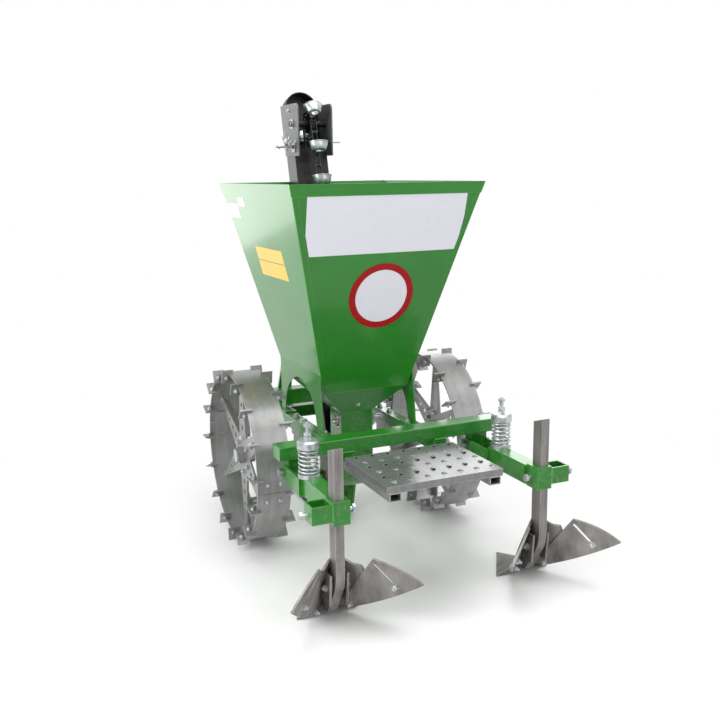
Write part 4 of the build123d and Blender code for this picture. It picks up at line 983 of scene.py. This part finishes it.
# %% Weld beads
BEAD_R, THIN_BEAD_R = 2.6, 2.2
RIPPLE, RIPPLE_DEPTH, STEPS_A_RIPPLE, THIN_END = 2.4, 0.14, 3, 0.4
ARC_BEAD_R, ARC_HALF, ARC_STEPS = 264.2, 0.034, 18
ARC_RIPPLE_DEPTH, ARC_RIPPLE_TURN = 0.4, 2.1
ARC_BEAD_X = (344.6, 351.4)
SEAMS = (
    # x, y, z of the start and of the end, then the bead's radius
    (133.0, 0.4, 372.0, 169.0, 0.4, 372.0, BEAD_R),
    (133.0, 59.6, 372.0, 169.0, 59.6, 372.0, BEAD_R),
    (275.0, 23.0, 372.0, 325.0, 23.0, 372.0, BEAD_R),
    (275.0, 60.0, 372.0, 325.0, 60.0, 372.0, BEAD_R),
    (159.6, 172.0, 377.2, 159.6, 236.0, 377.2, THIN_BEAD_R),
    (159.6, 496.0, 377.2, 159.6, 560.0, 377.2, THIN_BEAD_R),
    (133.0, 735.0, 334.0, 133.0, 735.0, 370.0, BEAD_R),
    (169.0, 735.0, 334.0, 169.0, 735.0, 370.0, BEAD_R),
    (132.0, 570.0, 371.0, 132.0, 610.0, 371.0, BEAD_R),
    (54.0, 770.3, 392.0, 104.0, 770.3, 392.0, BEAD_R),
    (54.0, 759.7, 392.0, 104.0, 759.7, 392.0, BEAD_R),
    (277.0, -71.0, 343.4, 323.0, -71.0, 343.4, BEAD_R),
    (283.0, -265.0, 350.0, 327.0, -265.0, 350.0, BEAD_R),
    (329.8, -318.6, 303.0, 329.8, -318.6, 347.0, BEAD_R),
    (329.8, -266.0, 347.6, 329.8, -318.0, 347.6, THIN_BEAD_R),
)


def bead(start, end, radius):
    """A straight bead whose radius follows a cosine of the length and ends thin."""
    length = np.linalg.norm(end - start)
    share = np.linspace(0.0, 1.0, int(length / RIPPLE * STEPS_A_RIPPLE))
    radius = radius * (1.0 + RIPPLE_DEPTH * np.cos(2 * pi * share * length / RIPPLE))
    radius[[0, -1]] *= THIN_END
    return tube(start + share[:, None] * (end - start), radius)


def arc_bead(x, arm):
    """A short bead inside the rim, across the tip of one of the star's arms."""
    turn = radians(FIRST_ARM + ARM_TURN * arm) + np.linspace(-ARC_HALF, ARC_HALF, ARC_STEPS)
    y, z = WHEEL_Y + ARC_BEAD_R * np.cos(turn), WHEEL_Z + ARC_BEAD_R * np.sin(turn)
    path = np.stack((np.full(ARC_STEPS, x), y, z), axis=-1)
    swing = ARC_RIPPLE_DEPTH * np.cos(np.arange(ARC_STEPS) * ARC_RIPPLE_TURN)
    return tube(path, BEAD_R + swing)


frame_welds = []
for side in (-1, 1):
    flip = np.array((side, 1.0, 1.0))
    frame_welds += [bead(np.array(s[:3]) * flip, np.array(s[3:6]) * flip, s[6]) for s in SEAMS]
piece("frame_welds", frame_welds, green_paint)
for side, name in SIDES:
    star_welds = [arc_bead(side * x, arm) for arm in range(ARMS) for x in ARC_BEAD_X]
    piece(name + "_star_welds", star_welds, galvanised, body=name + "_wheel")

# %% [markdown]
# The lower hitch pins are locked by linch pins: a short peg through the tip and a sprung ring that
# folds down over it. The ring is a torus, a circle carried round a circle.

# %% Linch pins
PIN_Y, PIN_Z = 765.0, 362.0
LINCH_X = 261.0
LINCH_RING_R, LINCH_WIRE_R, LINCH_TILT = 21.0, 2.1, radians(12.0)
PEG = ((3.0, -28.0), (4.8, -24.0), (5.0, 16.0), (6.6, 17.0), (6.6, 25.0), (4.0, 27.0))


def linch(side):
    return turned(PEG) + np.array((side * LINCH_X, PIN_Y, PIN_Z))


def linch_ring(side):
    """The torus: a unit circle tilted off the upright, and small circles square to it."""
    turn, small = full_turn(40)[:, None], full_turn(10)[:, None]
    tilted = np.array((side * sin(LINCH_TILT), 0.0, cos(LINCH_TILT)))
    normal = np.array((side * cos(LINCH_TILT), 0.0, -sin(LINCH_TILT)))
    outward = (np.cos(turn) * (0.0, 1.0, 0.0) + np.sin(turn) * tilted)[:, None, :]
    rings = outward * LINCH_RING_R
    rings = rings + LINCH_WIRE_R * (outward * np.cos(small) + normal * np.sin(small))
    rings = rings if side < 0 else rings[:, ::-1]
    return rings + np.array((side * (LINCH_X + 2.0), PIN_Y, PIN_Z + 2.0))


piece("linch_pegs", [linch(-1), linch(1)], zinc)
piece("linch_rings", [linch_ring(-1), linch_ring(1)], spring_steel, looped=True)

# %% [markdown]
# The floor is a pale sheet that keeps the machine's shadow near it and fades to plain white
# further out. Only the camera, mirrors and glass see that white: for every other ray the floor
# stays a lit sheet all over, which throws some light back up under the machine.

# %% Floor
FLOOR_HALF = 14.0
SHADOW_NEAR, SHADOW_FAR = 0.75, 1.8
SEEING_RAYS = ("Is Camera Ray", "Is Glossy Ray", "Is Transmission Ray")


def pale_floor():
    half = FLOOR_HALF
    corners = [(-half, -half, 0), (half, -half, 0), (half, half, 0), (-half, half, 0)]
    mesh = bpy.data.meshes.new("floor")
    mesh.from_pydata(corners, [], [(0, 1, 2, 3)])
    floor = bpy.data.objects.new("floor", mesh)
    bpy.context.scene.collection.objects.link(floor)
    finish = Finish("pale_floor")
    finish.surface(base_color=rgb(250, 250, 250), roughness=0.6)
    away = finish.add("ShaderNodeVectorMath", {"operation": "LENGTH"}, {0: finish.place}, "Value")
    seen = finish.add("ShaderNodeLightPath", {}, {}, SEEING_RAYS[0])
    for kind in SEEING_RAYS[1:]:
        seen = seen + finish.add("ShaderNodeLightPath", {}, {}, kind)
    plain = finish.mask(away, SHADOW_NEAR, SHADOW_FAR) * finish.mask(seen, 0.0, 1.0)
    white = finish.add("ShaderNodeEmission", {}, {"Color": (1.0, 1.0, 1.0, 1.0), "Strength": 1.0})
    lit = Wire(finish, finish.shader.outputs[0])
    both = finish.add("ShaderNodeMixShader", {}, {0: plain, 1: lit, 2: white})
    finish.tree.links.new(both.socket, finish.tree.nodes["Material Output"].inputs["Surface"])
    floor.data.materials.append(finish.material)
    return floor


floor = pale_floor()
print("floor", floor.name)

# %% [markdown]
# Soft boxes stand to the left of the machine, above it, and behind the camera to the right. Two
# more beyond the machine are there for their glare: it turns the hopper's left wall pale and the
# platform nearly white, as in the photograph. The world fills in at half the white of its look.

# %% Light
SOFT_BOXES = (
    # name, place, aims at, width, watts
    ("left_box", (-3.4, -0.9, 2.0), (0.0, 0.0, 0.6), 2.4, 82.0),
    ("top_box", (0.2, -0.6, 3.6), (0.0, 0.0, 0.4), 2.8, 70.0),
    ("rear_box", (1.6, -4.2, 2.2), (0.0, 0.0, 0.5), 2.2, 26.0),
    ("far_left_box", (-1.7, 4.6, 0.5), (0.0, 0.0, 0.6), 3.0, 46.0),
    ("far_right_box", (2.6, 4.0, 2.0), (0.0, 0.0, 0.4), 2.4, 40.0),
)
WORLD_LEVEL = 0.5


def soft_box(name, place, target, width, watts):
    """A square lamp at a place, turned to face its target."""
    data = bpy.data.lights.new(name, "AREA")
    data.size = width
    data.energy = watts
    lamp = bpy.data.objects.new(name, data)
    lamp.location = place
    lamp.rotation_euler = (Vector(target) - Vector(place)).to_track_quat("-Z", "Y").to_euler()
    bpy.context.scene.collection.objects.link(lamp)


def pale_world():
    """White where the camera or a reflection looks, and a plain grey as a source of light."""
    world = bpy.data.worlds.new("room")
    world.use_nodes = True
    tree = world.node_tree
    path = tree.nodes.new("ShaderNodeLightPath")
    total = path.outputs[SEEING_RAYS[0]]
    for kind in SEEING_RAYS[1:]:
        either = tree.nodes.new("ShaderNodeMath")
        either.operation = "MAXIMUM"
        tree.links.new(total, either.inputs[0])
        tree.links.new(path.outputs[kind], either.inputs[1])
        total = either.outputs["Value"]
    level = tree.nodes.new("ShaderNodeMapRange")
    level.inputs["To Min"].default_value = WORLD_LEVEL
    tree.links.new(total, level.inputs["Value"])
    background = tree.nodes["Background"]
    background.inputs["Color"].default_value = (1.0, 1.0, 1.0, 1.0)
    tree.links.new(level.outputs["Result"], background.inputs["Strength"])
    bpy.context.scene.world = world


for box in SOFT_BOXES:
    soft_box(*box)
pale_world()
bpy.context.scene.view_settings.view_transform = "Standard"
print("lamps", len(SOFT_BOXES), "world", WORLD_LEVEL)
